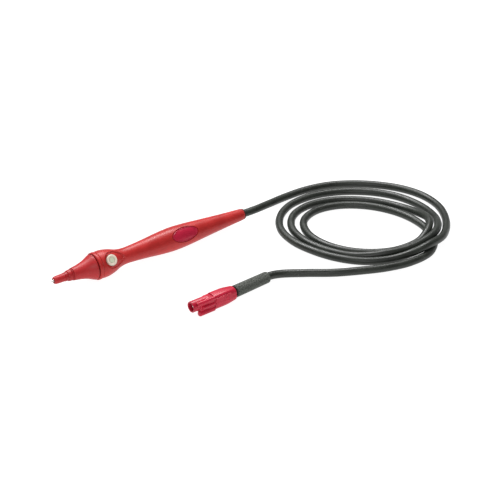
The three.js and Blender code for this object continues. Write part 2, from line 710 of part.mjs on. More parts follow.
function plugNose() {
  const { step } = BLOCK;
  const spigotInset = HOUSING.wall + GAP;
  const rear = blockRear;
  const block = loft([
    plugLoop(blockFront, step + 0.5, 0),
    plugLoop(blockFront + 0.6, step, 0),
    plugLoop(rear, step, 0),
  ]);
  const spigot = loft([plugLoop(rear - 0.5, spigotInset, 0), plugLoop(plugSpigotEnd, spigotInset, 0)]);
  const shroud = turned([
    [0, 0],
    [0, shroudRadius - 0.3],
    [0.3, shroudRadius],
    [blockFront + 1, shroudRadius],
    [blockFront + 1, 0],
  ]);
  const prong = turned([
    [PRONG.front, 0],
    [PRONG.front, PRONG.radius - 0.7],
    [PRONG.front + 0.7, PRONG.radius],
    [blockFront + 1, PRONG.radius],
    [blockFront + 1, 0],
  ], FEW_SIDES);
  const barrel = rod(BARREL.front, rear, BARREL.radius, FEW_SIDES);
  const barrelBore = rod(-1, BARREL.front + BARREL.depth, BARREL.bore, FEW_SIDES);
  return block
    .add(spigot)
    .add(shroud)
    .add(barrel.translate([0, BARREL.y, BARREL.z]))
    .add(prong.translate([0, PRONG.y, PRONG.z]))
    .subtract(rod(-1, SHROUD.depth, SHROUD.bore))
    .subtract(rod(-1, plugSpigotEnd + 1, PLUG_PIN.radius + GAP, FEW_SIDES))
    .subtract(barrelBore.translate([0, BARREL.y, BARREL.z]));
}

function signalSocket() {
  const outer = BARREL.bore - GAP;
  const from = BARREL.front + 0.6;
  const to = BARREL.front + BARREL.depth - GAP;
  return tube(from, to, outer / 2, outer, FEW_SIDES).translate([0, BARREL.y, BARREL.z]);
}

// Where the plug's screw stands, where its head seats and where its thread ends, below the pin.
function plugScrewPlace() {
  const section = Math.min(...PLUG_SECTION.map(([, z]) => z));
  return { x: housingFront + PLUG_SCREW.back, floor: section + PLUG_SCREW.sunk, tip: -cupRadius - 0.5 };
}

// The plug's hollow body behind the nose, split into two shells and closed by one screw.
function plugShells() {
  const { wall, split, endWall } = HOUSING;
  const { y, shank, head, rim } = PLUG_SCREW;
  const { x, floor } = plugScrewPlace();
  const outside = housingSkin(0, housingFront, housingRear);
  const cavity = housingSkin(wall, housingFront - 1, housingRear - endWall);
  const spigotRoom = loft([
    plugLoop(housingFront - 1, wall, 0),
    plugLoop(plugSpigotEnd + GAP, wall, 0),
  ]);
  const body = outside
    .subtract(cavity)
    .add(post(x, y, -FAR, FAR, head + GAP + rim, FEW_SIDES).intersect(outside))
    .subtract(post(x, y, -FAR, floor, head + GAP, FEW_SIDES))
    .subtract(post(x, y, -FAR, cupRadius, shank + GAP, FEW_SIDES))
    .subtract(rod(housingFront, plugPinRear + 2, cupRadius + GAP, FEW_SIDES))
    .subtract(leadTube(-2 * LEAD_REACH, leadLength + FAR, 0, cordBore, cordBore))
    .subtract(spigotRoom);
  const end = housingRear + FAR;
  return {
    top: body.intersect(box(0, end, -FAR, FAR, split + GAP / 2, FAR)),
    bottom: body.intersect(box(0, end, -FAR, FAR, -FAR, split - GAP / 2)),
  };
}

// A tube about the lead's last stretch; distances run from where the lead enters the plug.
function leadTube(from, to, inner, outerFrom, outerTo) {
  const along = sleeveMouth.clone().sub(leadIn).normalize();
  const yaw = Math.atan2(along.y, along.x);
  const pitch = -Math.asin(along.z);
  const at = leadIn.clone().sub(plugAt);
  return turned([[from, inner], [from, outerFrom], [to, outerTo], [to, inner]])
    .rotate([0, THREE.MathUtils.radToDeg(pitch), 0])
    .rotate([0, 0, THREE.MathUtils.radToDeg(yaw)])
    .translate(at.toArray());
}

function plugPin() {
  const { radius, front, cupDepth } = PLUG_PIN;
  const cupFront = plugSpigotEnd + GAP;
  return turned([
    [front, 0],
    [front + 0.1, radius - 0.5],
    [front + 0.7, radius],
    [cupFront, radius],
    [cupFront, cupRadius],
    [plugPinRear, cupRadius],
    [plugPinRear, cupBore],
    [plugPinRear - cupDepth, cupBore],
    [plugPinRear - cupDepth, 0],
  ], FEW_SIDES);
}

// The sprung cage that grips a 4 mm socket, bellied in the middle.
function springCage() {
  const { front, length, radius, wall } = CAGE;
  const rear = front + length;
  const belly = length / 4;
  const inner = PLUG_PIN.radius + GAP - 0.05;
  return turned([
    [front, inner],
    [front, inner + wall],
    [front + belly, radius],
    [rear - belly, radius],
    [rear, inner + wall],
    [rear, inner],
    [rear - belly, radius - wall],
    [front + belly, radius - wall],
  ], FEW_SIDES);
}

function plugScrew() {
  const { y, shank, head, headHeight } = PLUG_SCREW;
  const { x, floor, tip } = plugScrewPlace();
  const under = floor - GAP;
  const end = under - headHeight;
  const profile = [[0, end], [head, end], [head, under], [shank, under], [shank, tip], [0, tip]];
  return turnedUp(profile, x, y, FEW_SIDES).subtract(post(x, y, -FAR, under - 0.4, 0.7, 6));
}

function plugCore() {
  const from = new THREE.Vector3(plugPinRear - PLUG_PIN.cupDepth + 0.6, 0, 0);
  const to = leadIn.clone().sub(plugAt).add(new THREE.Vector3(-LEAD_REACH - GAP, 0.4, 0.2));
  const middle = from.clone().lerp(to, 0.5);
  return wire([from, middle, to].map((p) => p.toArray()), PLUG_CORE.radius, PLUG_CORE.steps);
}

function plug() {
  const group = new THREE.Group();
  const shells = plugShells();
  const sleeve = leadTube(GAP + 1.2, leadLength, sleeveBore, sleeveRadius, sleeveEndRadius);
  group.add(
    named("plug_nose", plugNose(), PLUG_RED),
    named("plug_shell_top", shells.top, PLUG_RED),
    named("plug_shell_bottom", shells.bottom, PLUG_RED),
    named("plug_pin", plugPin(), NICKEL),
    named("plug_spring_cage", springCage(), NICKEL),
    named("signal_socket", signalSocket(), BRASS),
    named("plug_screw", plugScrew(), STEEL),
    named("plug_core_main", plugCore(), WIRE_RED),
    named("cable_sleeve", sleeve, SLEEVE_GREY),
  );
  group.position.copy(plugAt);
  return group;
}

// ---------------------------------------------------------------- assembly
// Tilt that lays both the guard ring and the palm swelling on the table.
function restTilt() {
  const [palm, palmRadius] = GRIP.reduce((a, b) => (b[1] > a[1] ? b : a));
  return Math.atan2(guardRadius - palmRadius, alongGrip(palm) - guardRear);
}

// The lead's middle line: straight out of the grommet, along the route, and straight into the plug.
function leadCurve(exit) {
  const along = sleeveMouth.clone().sub(leadIn).normalize();
  const at = (distance) => leadIn.clone().addScaledVector(along, distance);
  return new THREE.CatmullRomCurve3([
    exit,
    ...ROUTE.map((p) => new THREE.Vector3(...p)),
    at(leadLength + 3),
    at(leadLength - 8),
    at(leadLength / 2),
    at(-LEAD_REACH),
  ]);
}

const probeRoll = new THREE.Group();
probeRoll.add(...probe().children);
probeRoll.rotation.x = ROLL;
const probeTilt = new THREE.Group();
probeTilt.add(probeRoll);
probeTilt.rotation.y = restTilt();
probeTilt.updateMatrixWorld(true);
const reach = new THREE.Box3().setFromObject(probeTilt, true);
probeTilt.position.set(-(reach.min.x + reach.max.x) / 2, -(reach.min.y + reach.max.y) / 2, -reach.min.z);
probeTilt.updateMatrixWorld(true);

const cableExit = probeTilt.localToWorld(new THREE.Vector3(grommetRear + GAP, 0, 0));
const cableTube = cordGeometry(leadCurve(cableExit), CORD.radius, CORD.sides, CORD.steps);
const cable = named("cable", cableTube, BLACK_JACKET);

const part = new THREE.Group();
part.add(probeTilt, plug(), cable);

export default part;
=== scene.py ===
"""Oscilloscope probe: the shaped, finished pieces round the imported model, with their stage."""

import json
import math

import bpy
import numpy as np
from bpy.props import FloatProperty, FloatVectorProperty, PointerProperty
from mathutils import Matrix, Vector


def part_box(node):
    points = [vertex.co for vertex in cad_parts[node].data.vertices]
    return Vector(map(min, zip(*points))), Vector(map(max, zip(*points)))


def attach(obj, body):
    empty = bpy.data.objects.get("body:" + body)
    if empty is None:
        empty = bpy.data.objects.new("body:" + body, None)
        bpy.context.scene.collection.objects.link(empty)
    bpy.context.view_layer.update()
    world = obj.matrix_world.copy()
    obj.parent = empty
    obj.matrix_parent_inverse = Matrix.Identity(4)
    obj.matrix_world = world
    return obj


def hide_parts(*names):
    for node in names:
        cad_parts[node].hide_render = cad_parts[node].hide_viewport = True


bl_info = {
    "name": "Oscilloscope probe",
    "version": (1, 0, 0),
    "blender": (4, 5, 0),
    "location": "3D View > Sidebar > Probe",
    "description": "Models the probe's shells, tip, button, plug and lead round the packed model",
    "category": "Add Mesh",
}

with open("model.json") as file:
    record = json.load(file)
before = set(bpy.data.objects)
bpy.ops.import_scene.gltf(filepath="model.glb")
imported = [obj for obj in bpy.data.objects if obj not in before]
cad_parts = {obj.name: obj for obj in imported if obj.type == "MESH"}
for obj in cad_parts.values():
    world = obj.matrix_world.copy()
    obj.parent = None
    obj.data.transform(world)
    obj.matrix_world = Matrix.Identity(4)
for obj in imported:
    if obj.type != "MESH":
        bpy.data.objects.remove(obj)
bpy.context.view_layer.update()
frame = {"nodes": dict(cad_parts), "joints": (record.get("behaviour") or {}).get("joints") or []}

MM = 0.001
FULL = 2 * math.pi
FINE, COARSE = 96, 48  # steps round a turned piece


# ---------------------------------------------------------------- where things are
def joint_axis(name):
    return next(Vector(j["axis"]).normalized() for j in frame["joints"] if j["name"] == name)


def points_of(node, place):
    """The node's vertices in a piece's own frame, in millimetres."""
    mesh = frame["nodes"][node].data
    flat = np.empty(len(mesh.vertices) * 3)
    mesh.vertices.foreach_get("co", flat)
    turn = np.array(place.inverted())
    return (flat.reshape(-1, 3) @ turn[:3, :3].T + turn[:3, 3]) / MM


def probe_place():
    """The probe's own frame: x runs back from the metal point, z up through the button."""
    back = -joint_axis("tip_sheath_pull")
    up = -joint_axis("button_press")
    side = up.cross(back).normalized()
    turn = Matrix((back, side, up)).transposed().to_4x4()
    points = points_of("tip_pin", turn)
    front = points[points[:, 0] < points[:, 0].min() + 0.05]
    return turn @ Matrix.Translation(Vector(front.mean(axis=0)) * MM)


def plug_place():
    """The plug's own frame: x runs back along its pin from the shroud's face."""
    low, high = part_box("plug_pin")
    middle = (low + high) / 2
    return Matrix.Translation((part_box("plug_nose")[0].x, middle.y, middle.z))


PROBE = probe_place()
PLUG = plug_place()


def span(node, place=PROBE):
    """Lowest and highest corner of a node in a piece's own frame, in millimetres."""
    points = points_of(node, place)
    return points.min(axis=0), points.max(axis=0)


# The handle's outside, [mm behind the metal point, radius].
OUTLINE = np.array([
    [38.7, 10.05], [42.4, 10.25], [46.4, 9.8], [50.9, 8.7], [55.4, 7.1], [60.4, 6.2], [66.04, 6.15],
    [79.64, 7.05], [93.14, 8.35], [105.08, 9], [117.47, 8.5], [133.29, 7.2], [151.31, 5.75], [163.26, 4.9],
    [168.24, 4.6], [171, 4.3],
])
SLOPES = np.array([
    (OUTLINE[min(i + 1, len(OUTLINE) - 1), 1] - OUTLINE[max(i - 1, 0), 1])
    / (OUTLINE[min(i + 1, len(OUTLINE) - 1), 0] - OUTLINE[max(i - 1, 0), 0])
    for i in range(len(OUTLINE))
])
SHOULDER, HANDLE_REAR = OUTLINE[0, 0], OUTLINE[-1, 0]
MOUTH = (37.0, 7.9)  # front and radius of the spigot that the guard ring sits on


def handle_radius(x):
    """Radius of the handle's outside at x: a smooth curve through the outline's points."""
    x = np.clip(np.asarray(x, dtype=float), SHOULDER, HANDLE_REAR)
    i = np.clip(np.searchsorted(OUTLINE[:, 0], x, side="right") - 1, 0, len(OUTLINE) - 2)
    step = OUTLINE[i + 1, 0] - OUTLINE[i, 0]
    t = (x - OUTLINE[i, 0]) / step
    return (
        OUTLINE[i, 1] * (1 + 2 * t) * (1 - t) ** 2
        + SLOPES[i] * step * t * (1 - t) ** 2
        + OUTLINE[i + 1, 1] * t**2 * (3 - 2 * t)
        + SLOPES[i + 1] * step * t**2 * (t - 1)
    )


def smooth_step(t):
    t = np.clip(t, 0, 1)
    return t * t * (3 - 2 * t)


BUTTON_LOW, BUTTON_HIGH = span("button_cap")
BUTTON_X = (BUTTON_LOW[0] + BUTTON_HIGH[0]) / 2
BUTTON_TOP = BUTTON_HIGH[2]
BUTTON_RADIUS = 4.3
RECESS_FLOOR = BUTTON_TOP - 1.0
RECESS_RADIUS, RECESS_TAIL = 5.9, 12.0
PIN_END = span("tip_pin")[1][0]
BADGE_LOW, BADGE_HIGH = span("badge_plate")
BADGE_X = (BADGE_LOW[0] + BADGE_HIGH[0]) / 2
BADGE_HALF = ((BADGE_HIGH[0] - BADGE_LOW[0]) / 2, (BADGE_HIGH[1] - BADGE_LOW[1]) / 2)


# ---------------------------------------------------------------- sizes and colours
def length(name, words, millimetres):
    return FloatProperty(
        name=name, description=words, default=millimetres * MM, min=0.0, unit="LENGTH", precision=5
    )


def colour(name, words, red, green, blue):
    """A colour given as it looks on a screen, 0 to 255."""
    def linear(v):
        v /= 255
        return v / 12.92 if v <= 0.04045 else ((v + 0.055) / 1.055) ** 2.4

    value = (linear(red), linear(green), linear(blue))
    return FloatVectorProperty(name=name, description=words, default=value, subtype="COLOR", min=0, max=1)


class ProbeSizes(bpy.types.PropertyGroup):
    shell_wall: length("Shell wall", "Thickness of the handle's two shells", 1.7)
    seam: length("Seam", "Width of the line where two moulded halves meet", 0.16)
    recess_edge: length("Recess edge", "Width over which the button's recess drops", 0.38)
    recess_depth: length("Recess depth", "Least depth of the button's recess below the shell", 0.8)
    badge_rim: length("Badge rim", "Height of the raised rim round the badge", 0.22)
    lead_diameter: length("Lead diameter", "Outside diameter of the lead", 6.0)
    lead_step: length("Lead step", "Distance between the lead's rings", 1.5)


class ProbeColours(bpy.types.PropertyGroup):
    handle: colour("Handle", "Moulded shells and guard ring", 190, 40, 38)
    tip: colour("Tip", "Nose cone and tip cap", 182, 34, 38)
    badge: colour("Badge", "Oval plate on the grip", 190, 26, 60)
    plug: colour("Plug", "Plug mouldings", 200, 26, 58)
    button: colour("Button", "Push button", 242, 226, 208)
    inlay: colour("Button inlay", "Dished disc in the button", 224, 230, 202)
    lead: colour("Lead", "Lead's jacket", 32, 38, 31)
    sleeve: colour("Sleeve", "Sleeve on the lead behind the plug", 82, 87, 80)
    rubber: colour("Rubber", "Grommet and seal", 46, 28, 22)
    floor: colour("Floor", "Lit table top", 255, 255, 255)


def sizes():
    return bpy.context.scene.probe_sizes


def colours():
    return bpy.context.scene.probe_colours


# ---------------------------------------------------------------- finishes
def group_nodes(name, inputs, outputs):
    """A new shader node group with its sockets; returns it with its two end nodes."""
    tree = bpy.data.node_groups.new(name, "ShaderNodeTree")
    for socket, kind, value in inputs:
        made = tree.interface.new_socket(name=socket, in_out="INPUT", socket_type=kind)
        if value is not None:
            made.default_value = value
    for socket in outputs:
        tree.interface.new_socket(name=socket, in_out="OUTPUT", socket_type="NodeSocketFloat")
    return tree, tree.nodes.new("NodeGroupInput"), tree.nodes.new("NodeGroupOutput")


def maths(tree, operation, a, b=None, clamp=False):
    node = tree.nodes.new("ShaderNodeMath")
    node.operation, node.use_clamp = operation, clamp
    for socket, value in zip(node.inputs, (a, b)):
        if hasattr(value, "links"):
            tree.links.new(value, socket)
        elif value is not None:
            socket.default_value = value
    return node.outputs[0]


def noise(tree, vector, scale, detail, roughness=0.55):
    node = tree.nodes.new("ShaderNodeTexNoise")
    node.inputs["Detail"].default_value = detail
    node.inputs["Roughness"].default_value = roughness
    tree.links.new(vector, node.inputs["Vector"])
    if hasattr(scale, "links"):
        tree.links.new(scale, node.inputs["Scale"])
    else:
        node.inputs["Scale"].default_value = scale
    return node.outputs["Fac"]


def ramp(tree, value, low, high):
    node = tree.nodes.new("ShaderNodeMapRange")
    node.interpolation_type = "SMOOTHSTEP"
    node.inputs["From Min"].default_value, node.inputs["From Max"].default_value = low, high
    tree.links.new(value, node.inputs["Value"])
    return node.outputs["Result"]


def moulding_group():
    """Grain of a moulded surface, its slow change of tone, and the scuffs of handling."""
    tree, start, end = group_nodes(
        "moulded_surface",
        [("Vector", "NodeSocketVector", None), ("Grain per metre", "NodeSocketFloat", 4000.0),
         ("Tone per metre", "NodeSocketFloat", 90.0), ("Scuff amount", "NodeSocketFloat", 0.3)],
        ["Grain", "Tone", "Scuff"],
    )
    vector = start.outputs["Vector"]
    grain = noise(tree, vector, start.outputs["Grain per metre"], 3.0, 0.6)
    tone = noise(tree, vector, start.outputs["Tone per metre"], 4.0)
    stretch = tree.nodes.new("ShaderNodeVectorMath")
    stretch.operation = "MULTIPLY"
    stretch.inputs[1].default_value = (0.12, 1.0, 1.0)
    tree.links.new(vector, stretch.inputs[0])
    strokes = ramp(tree, noise(tree, stretch.outputs[0], 1500.0, 2.0, 0.5), 0.62, 0.72)
    patches = ramp(tree, noise(tree, vector, 120.0, 2.0), 0.45, 0.7)
    rubbed = maths(tree, "MULTIPLY", strokes, patches)
    scuff = maths(tree, "MULTIPLY", rubbed, start.outputs["Scuff amount"])
    tree.links.new(grain, end.inputs["Grain"])
    tree.links.new(ramp(tree, tone, 0.3, 0.7), end.inputs["Tone"])
    tree.links.new(scuff, end.inputs["Scuff"])
    return tree


def dust_group():
    """Fine dust that settles on faces that look up."""
    tree, start, end = group_nodes(
        "settled_dust",
        [("Vector", "NodeSocketVector", None), ("Amount", "NodeSocketFloat", 0.15)],
        ["Dust"],
    )
    geometry = tree.nodes.new("ShaderNodeNewGeometry")
    parts = tree.nodes.new("ShaderNodeSeparateXYZ")
    tree.links.new(geometry.outputs["Normal"], parts.inputs[0])
    upward = ramp(tree, parts.outputs["Z"], 0.2, 1.0)
    specks = ramp(tree, noise(tree, start.outputs["Vector"], 2600.0, 2.0), 0.5, 0.75)
    dust = maths(tree, "MULTIPLY", maths(tree, "MULTIPLY", upward, specks), start.outputs["Amount"])
    tree.links.new(dust, end.inputs["Dust"])
    return tree


def mixed(tree, factor, a, b):
    node = tree.nodes.new("ShaderNodeMix")
    node.data_type = "RGBA"
    tree.links.new(factor, node.inputs["Factor"])
    for socket, value in ((node.inputs[6], a), (node.inputs[7], b)):
        if hasattr(value, "links"):
            tree.links.new(value, socket)
        else:
            socket.default_value = value
    return node.outputs[2]


def bare_material(name):
    """A new material with its node tree and its shader."""
    made = bpy.data.materials.new(name)
    made.use_nodes = True
    return made, made.node_tree, made.node_tree.nodes["Principled BSDF"]


def tinted(colour_, factor, lift=0.0):
    return tuple(min(1.0, c * factor + lift) for c in colour_) + (1.0,)


def finish(name, base, rough, spread=0.08, grain=4000.0, tone=90.0, depth=0.02, scuff=0.3, dust=0.1,
           deep=0.8, metallic=0.0, coat=0.0, specular=0.5, weave=None):
    """A material: base colour with its tone, grain, scuffs and dust; depth is the grain's, in mm."""
    name += "_finish"
    made = bpy.data.materials.get(name)
    if made:
        return made
    made, tree, shader = bare_material(name)
    shader.inputs["Metallic"].default_value = metallic
    shader.inputs["Coat Weight"].default_value = coat
    shader.inputs["Coat Roughness"].default_value = 0.25
    shader.inputs["Specular IOR Level"].default_value = specular
    place = tree.nodes.new("ShaderNodeTexCoord")
    vector = place.outputs["Object"]
    surface = tree.nodes.new("ShaderNodeGroup")
    surface.node_tree = bpy.data.node_groups.get("moulded_surface") or moulding_group()
    for socket, value in (("Grain per metre", grain), ("Tone per metre", tone), ("Scuff amount", scuff)):
        surface.inputs[socket].default_value = value
    tree.links.new(vector, surface.inputs["Vector"])
    settled = tree.nodes.new("ShaderNodeGroup")
    settled.node_tree = bpy.data.node_groups.get("settled_dust") or dust_group()
    settled.inputs["Amount"].default_value = dust
    tree.links.new(vector, settled.inputs["Vector"])
    tone_colour = mixed(tree, surface.outputs["Tone"], tinted(base, deep), tinted(base, 1.0))
    scuffed = mixed(tree, surface.outputs["Scuff"], tone_colour, tinted(base, 0.9, 0.12))
    dusted = mixed(tree, settled.outputs["Dust"], scuffed, (0.55, 0.53, 0.5, 1.0))
    tree.links.new(dusted, shader.inputs["Base Color"])
    polish = maths(tree, "MULTIPLY_ADD", surface.outputs["Tone"], spread)
    polish.node.inputs[2].default_value = rough - spread / 2
    worn = maths(tree, "ADD", polish, maths(tree, "MULTIPLY", surface.outputs["Scuff"], 0.35), clamp=True)
    tree.links.new(worn, shader.inputs["Roughness"])
    height = maths(tree, "SUBTRACT", surface.outputs["Grain"], surface.outputs["Scuff"])
    if weave:
        height = maths(tree, "ADD", height, weave(tree, vector))
    bump = tree.nodes.new("ShaderNodeBump")
    bump.inputs["Strength"].default_value = 1.0
    bump.inputs["Distance"].default_value = depth * MM
    tree.links.new(height, bump.inputs["Height"])
    tree.links.new(bump.outputs["Normal"], shader.inputs["Normal"])
    return made


def pebbles(tree, vector):
    """The coarse cloth-like texture of the sleeve."""
    cells = tree.nodes.new("ShaderNodeTexVoronoi")
    cells.inputs["Scale"].default_value = 800.0
    tree.links.new(vector, cells.inputs["Vector"])
    return maths(tree, "MULTIPLY", cells.outputs["Distance"], 2.5)


def handle_finish():
    return finish("handle_red", colours().handle, 0.40, spread=0.10, depth=0.012, scuff=0.12, deep=0.82,
                  dust=0.02, specular=0.35)


def tip_finish():
    return finish("cone_red", colours().tip, 0.40, spread=0.10, depth=0.012, scuff=0.12, deep=0.8,
                  dust=0.02, specular=0.35)


def badge_finish():
    return finish("badge_red", colours().badge, 0.32, spread=0.06, grain=2600.0, depth=0.008, scuff=0.1,
                  deep=0.84, dust=0.02, specular=0.3)


def plug_finish():
    return finish("plug_red", colours().plug, 0.38, spread=0.10, depth=0.012, scuff=0.12, deep=0.78,
                  dust=0.02, specular=0.35)


def button_finish():
    return finish("button_ivory", colours().button, 0.42, depth=0.008, scuff=0.3, deep=0.93, dust=0.05)


def inlay_finish():
    return finish("button_green", colours().inlay, 0.5, grain=3000.0, depth=0.02, scuff=0.4, deep=0.86)


def lead_finish():
    return finish("lead_black", colours().lead, 0.42, spread=0.14, grain=2500.0, depth=0.02, scuff=0.5,
                  dust=0.06, deep=0.6)


def sleeve_finish():
    return finish("sleeve_grey", colours().sleeve, 0.66, spread=0.2, grain=1400.0, tone=700.0, depth=0.3,
                  scuff=0.3, dust=0.25, deep=0.5, weave=pebbles)


def rubber_finish():
    return finish("rubber_black", colours().rubber, 0.62, grain=3000.0, depth=0.02, scuff=0.2, dust=0.2,
                  deep=0.7)


def metal(name, base, rough):
    return finish(name, base, rough, spread=0.12, grain=6000.0, tone=200.0, depth=0.004, scuff=0.4,
                  dust=0.03, deep=0.85, metallic=1.0)


def nickel():
    return metal("nickel", (0.62, 0.61, 0.58), 0.24)


def brass():
    return metal("brass", (0.62, 0.44, 0.16), 0.3)


def steel():
    return metal("steel", (0.42, 0.42, 0.42), 0.34)


# ---------------------------------------------------------------- hand work
def clear():
    if bpy.context.mode != "OBJECT":
        bpy.ops.object.mode_set(mode="OBJECT")
    bpy.ops.object.select_all(action="DESELECT")


def only(obj):
    clear()
    obj.select_set(True)
    bpy.context.view_layer.objects.active = obj
    return obj


def closed(gap=0.0005):
    """In edit mode: merges doubles and turns every face outwards."""
    bpy.ops.mesh.select_all(action="SELECT")
    bpy.ops.mesh.remove_doubles(threshold=gap)
    bpy.ops.mesh.normals_make_consistent(inside=False)
    bpy.ops.object.mode_set(mode="OBJECT")


def turned(name, outline, steps=FINE, axis="X", centre=(0.0, 0.0, 0.0)):
    """A piece spun about an axis through centre; outline holds (along, out) points, first to last."""
    clear()
    middle = Vector(centre)
    along, out = Vector((1, 0, 0)), Vector((0, 0, 1))
    if axis == "Z":
        along, out = out, along
    points = [middle + along * a + out * b for a, b in outline]
    if outline[0][1] > 0 or outline[-1][1] > 0:
        points.append(points[0])
    bpy.ops.mesh.primitive_circle_add(vertices=3, radius=0.01)
    obj = bpy.context.object
    obj.name = obj.data.name = name
    bpy.ops.object.mode_set(mode="EDIT")
    bpy.ops.mesh.select_all(action="SELECT")
    bpy.ops.mesh.merge(type="CENTER")
    bpy.ops.transform.translate(value=points[0])
    for start, end in zip(points, points[1:]):
        bpy.ops.mesh.extrude_vertices_move(TRANSFORM_OT_translate={"value": end - start})
    bpy.ops.mesh.select_all(action="SELECT")
    bpy.ops.mesh.spin(steps=steps, angle=FULL, center=middle, axis=along)
    closed()
    return obj


def sheet(name, rows):
    """A grid primitive laid on rows of points; rows and columns that meet are merged."""
    rows = np.asarray(rows, dtype=float)
    clear()
    bpy.ops.mesh.primitive_grid_add(x_subdivisions=rows.shape[1] - 1, y_subdivisions=rows.shape[0] - 1)
    obj = bpy.context.object
    obj.name = obj.data.name = name
    obj.data.vertices.foreach_set("co", rows.reshape(-1))
    obj.data.update()
    bpy.ops.object.mode_set(mode="EDIT")
    closed()
    return obj


def lofted(name, loops):
    """A closed solid through loops of points, with a fan of faces at each end."""
    rows = [np.vstack([loop, loop[:1]]) for loop in loops]
    front, back = (
        np.repeat(row[:-1].mean(axis=0, keepdims=True), len(row), axis=0) for row in (rows[0], rows[-1])
    )
    return sheet(name, [front, *rows, back])


def apply_modifier(obj, modifier):
    only(obj)
    bpy.ops.object.modifier_apply(modifier=modifier.name)
    return obj


def bevelled(obj, width, segments=2, angle=30):
    made = obj.modifiers.new("edges", "BEVEL")
    made.width, made.segments = width, segments
    made.limit_method, made.angle_limit = "ANGLE", math.radians(angle)
    return apply_modifier(obj, made)


def combined(obj, tool, operation):
    made = obj.modifiers.new("shape", "BOOLEAN")
    made.operation, made.object, made.solver = operation, tool, "MANIFOLD"
    apply_modifier(obj, made)
    bpy.data.objects.remove(tool)
    if not obj.data.polygons:
        raise RuntimeError(f"{obj.name}: nothing is left of it")
    return obj


def less(obj, *tools):
    for tool in tools:
        combined(obj, tool, "DIFFERENCE")
    return obj


def plus(obj, *tools):
    for tool in tools:
        combined(obj, tool, "UNION")
    return obj


def rod(start, end, radius, y=0.0, z=0.0, steps=COARSE):
    return turned("tool", [(start, 0), (start, radius), (end, radius), (end, 0)], steps, "X", (0, y, z))


def post(x, y, low, high, radius, steps=COARSE):
    return turned("tool", [(low, 0), (low, radius), (high, radius), (high, 0)], steps, "Z", (x, y, 0))


def seated(obj, place, body, material, slot, *nodes, angle=35):
    """Puts a piece modelled in millimetres in its place, with its finish, body and nodes."""
    only(obj)
    bpy.ops.object.shade_smooth_by_angle(angle=math.radians(angle))
    obj.matrix_world = place @ Matrix.Scale(MM, 4)
    bpy.ops.object.transform_apply(location=True, rotation=True, scale=True)
    obj.data.materials.clear()
    obj.data.materials.append(material)
    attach(obj, body)
    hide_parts(*nodes)
    return obj


def arc(centre, radius, start, end, steps):
    """Points of a round, from one angle to another in degrees, 0 along and 90 out."""
    angles = [math.radians(start + (end - start) * i / steps) for i in range(steps + 1)]
    return [(centre[0] + radius * math.cos(a), centre[1] + radius * math.sin(a)) for a in angles]


# ---------------------------------------------------------------- handle
POCKET_DEPTH = 1.0  # of the badge's pocket
POCKET_EDGE = 0.3
SPIGOT_WALL = 1.5
BORE_END = 41.0  # the shells' front bore runs this far back
WELL_END = 54.0  # the shells are thicker as far back as this, under the button's recess
BADGE_REGION = (99.4, 126.0)
GROMMET_REGION = 8.0  # length of the grommet's seat
BACK_BORE, SEAT_BORE = 4.2, 3.92  # least inside radius of the shells, before the seat and in it
SHELL_GAP, BOSS_RADIUS = 0.08, 2.6
WELL_RADIUS, WELL_CEILING = 5.12, 5.5  # round the button's skirt, under the recess
BUTTON_GAP = 0.25
SCREW_BORE, HEAD_BORE, HEAD_SINK = 1.2, 2.2, 2.3


def teardrop_reach(x, y):
    """How far a point seen from above is outside the button's recess, in millimetres."""
    ahead = x - BUTTON_X
    share = 3 - np.sqrt(np.clip(9 - 5 * np.clip(ahead, 0, RECESS_TAIL) / RECESS_TAIL, 0, None))
    half_width = RECESS_RADIUS * (1 - share**2)
    beside = (np.abs(y) - half_width) * 0.85
    behind = np.hypot(ahead - RECESS_TAIL, y)
    tail = np.where(ahead < RECESS_TAIL, beside, behind)
    return np.where(ahead <= 0, np.hypot(ahead, y) - RECESS_RADIUS, tail)


def badge_reach(x, y, margin=0.28):
    """How far a point seen from above is outside the badge's pocket, in millimetres."""
    ratio = np.hypot((x - BADGE_X) / (BADGE_HALF[0] + margin), y / (BADGE_HALF[1] + margin)) + 1e-6
    return (ratio - 1) * np.hypot(x - BADGE_X, y) / ratio


def with_recesses(points):
    """Sinks the button's recess and the badge's pocket into the upper shell's outside."""
    x, y, z = points.T
    edge = sizes().recess_edge / MM
    above = z - np.minimum(RECESS_FLOOR, z - sizes().recess_depth / MM)
    near = np.where(x < BUTTON_X + RECESS_TAIL + 2, 1.0, 0.0)
    z = z - near * above * (1 - smooth_step(teardrop_reach(x, y) / edge))
    pocket = POCKET_DEPTH * (1 - smooth_step(badge_reach(x, y) / POCKET_EDGE))
    return np.column_stack([x, y, z - pocket])


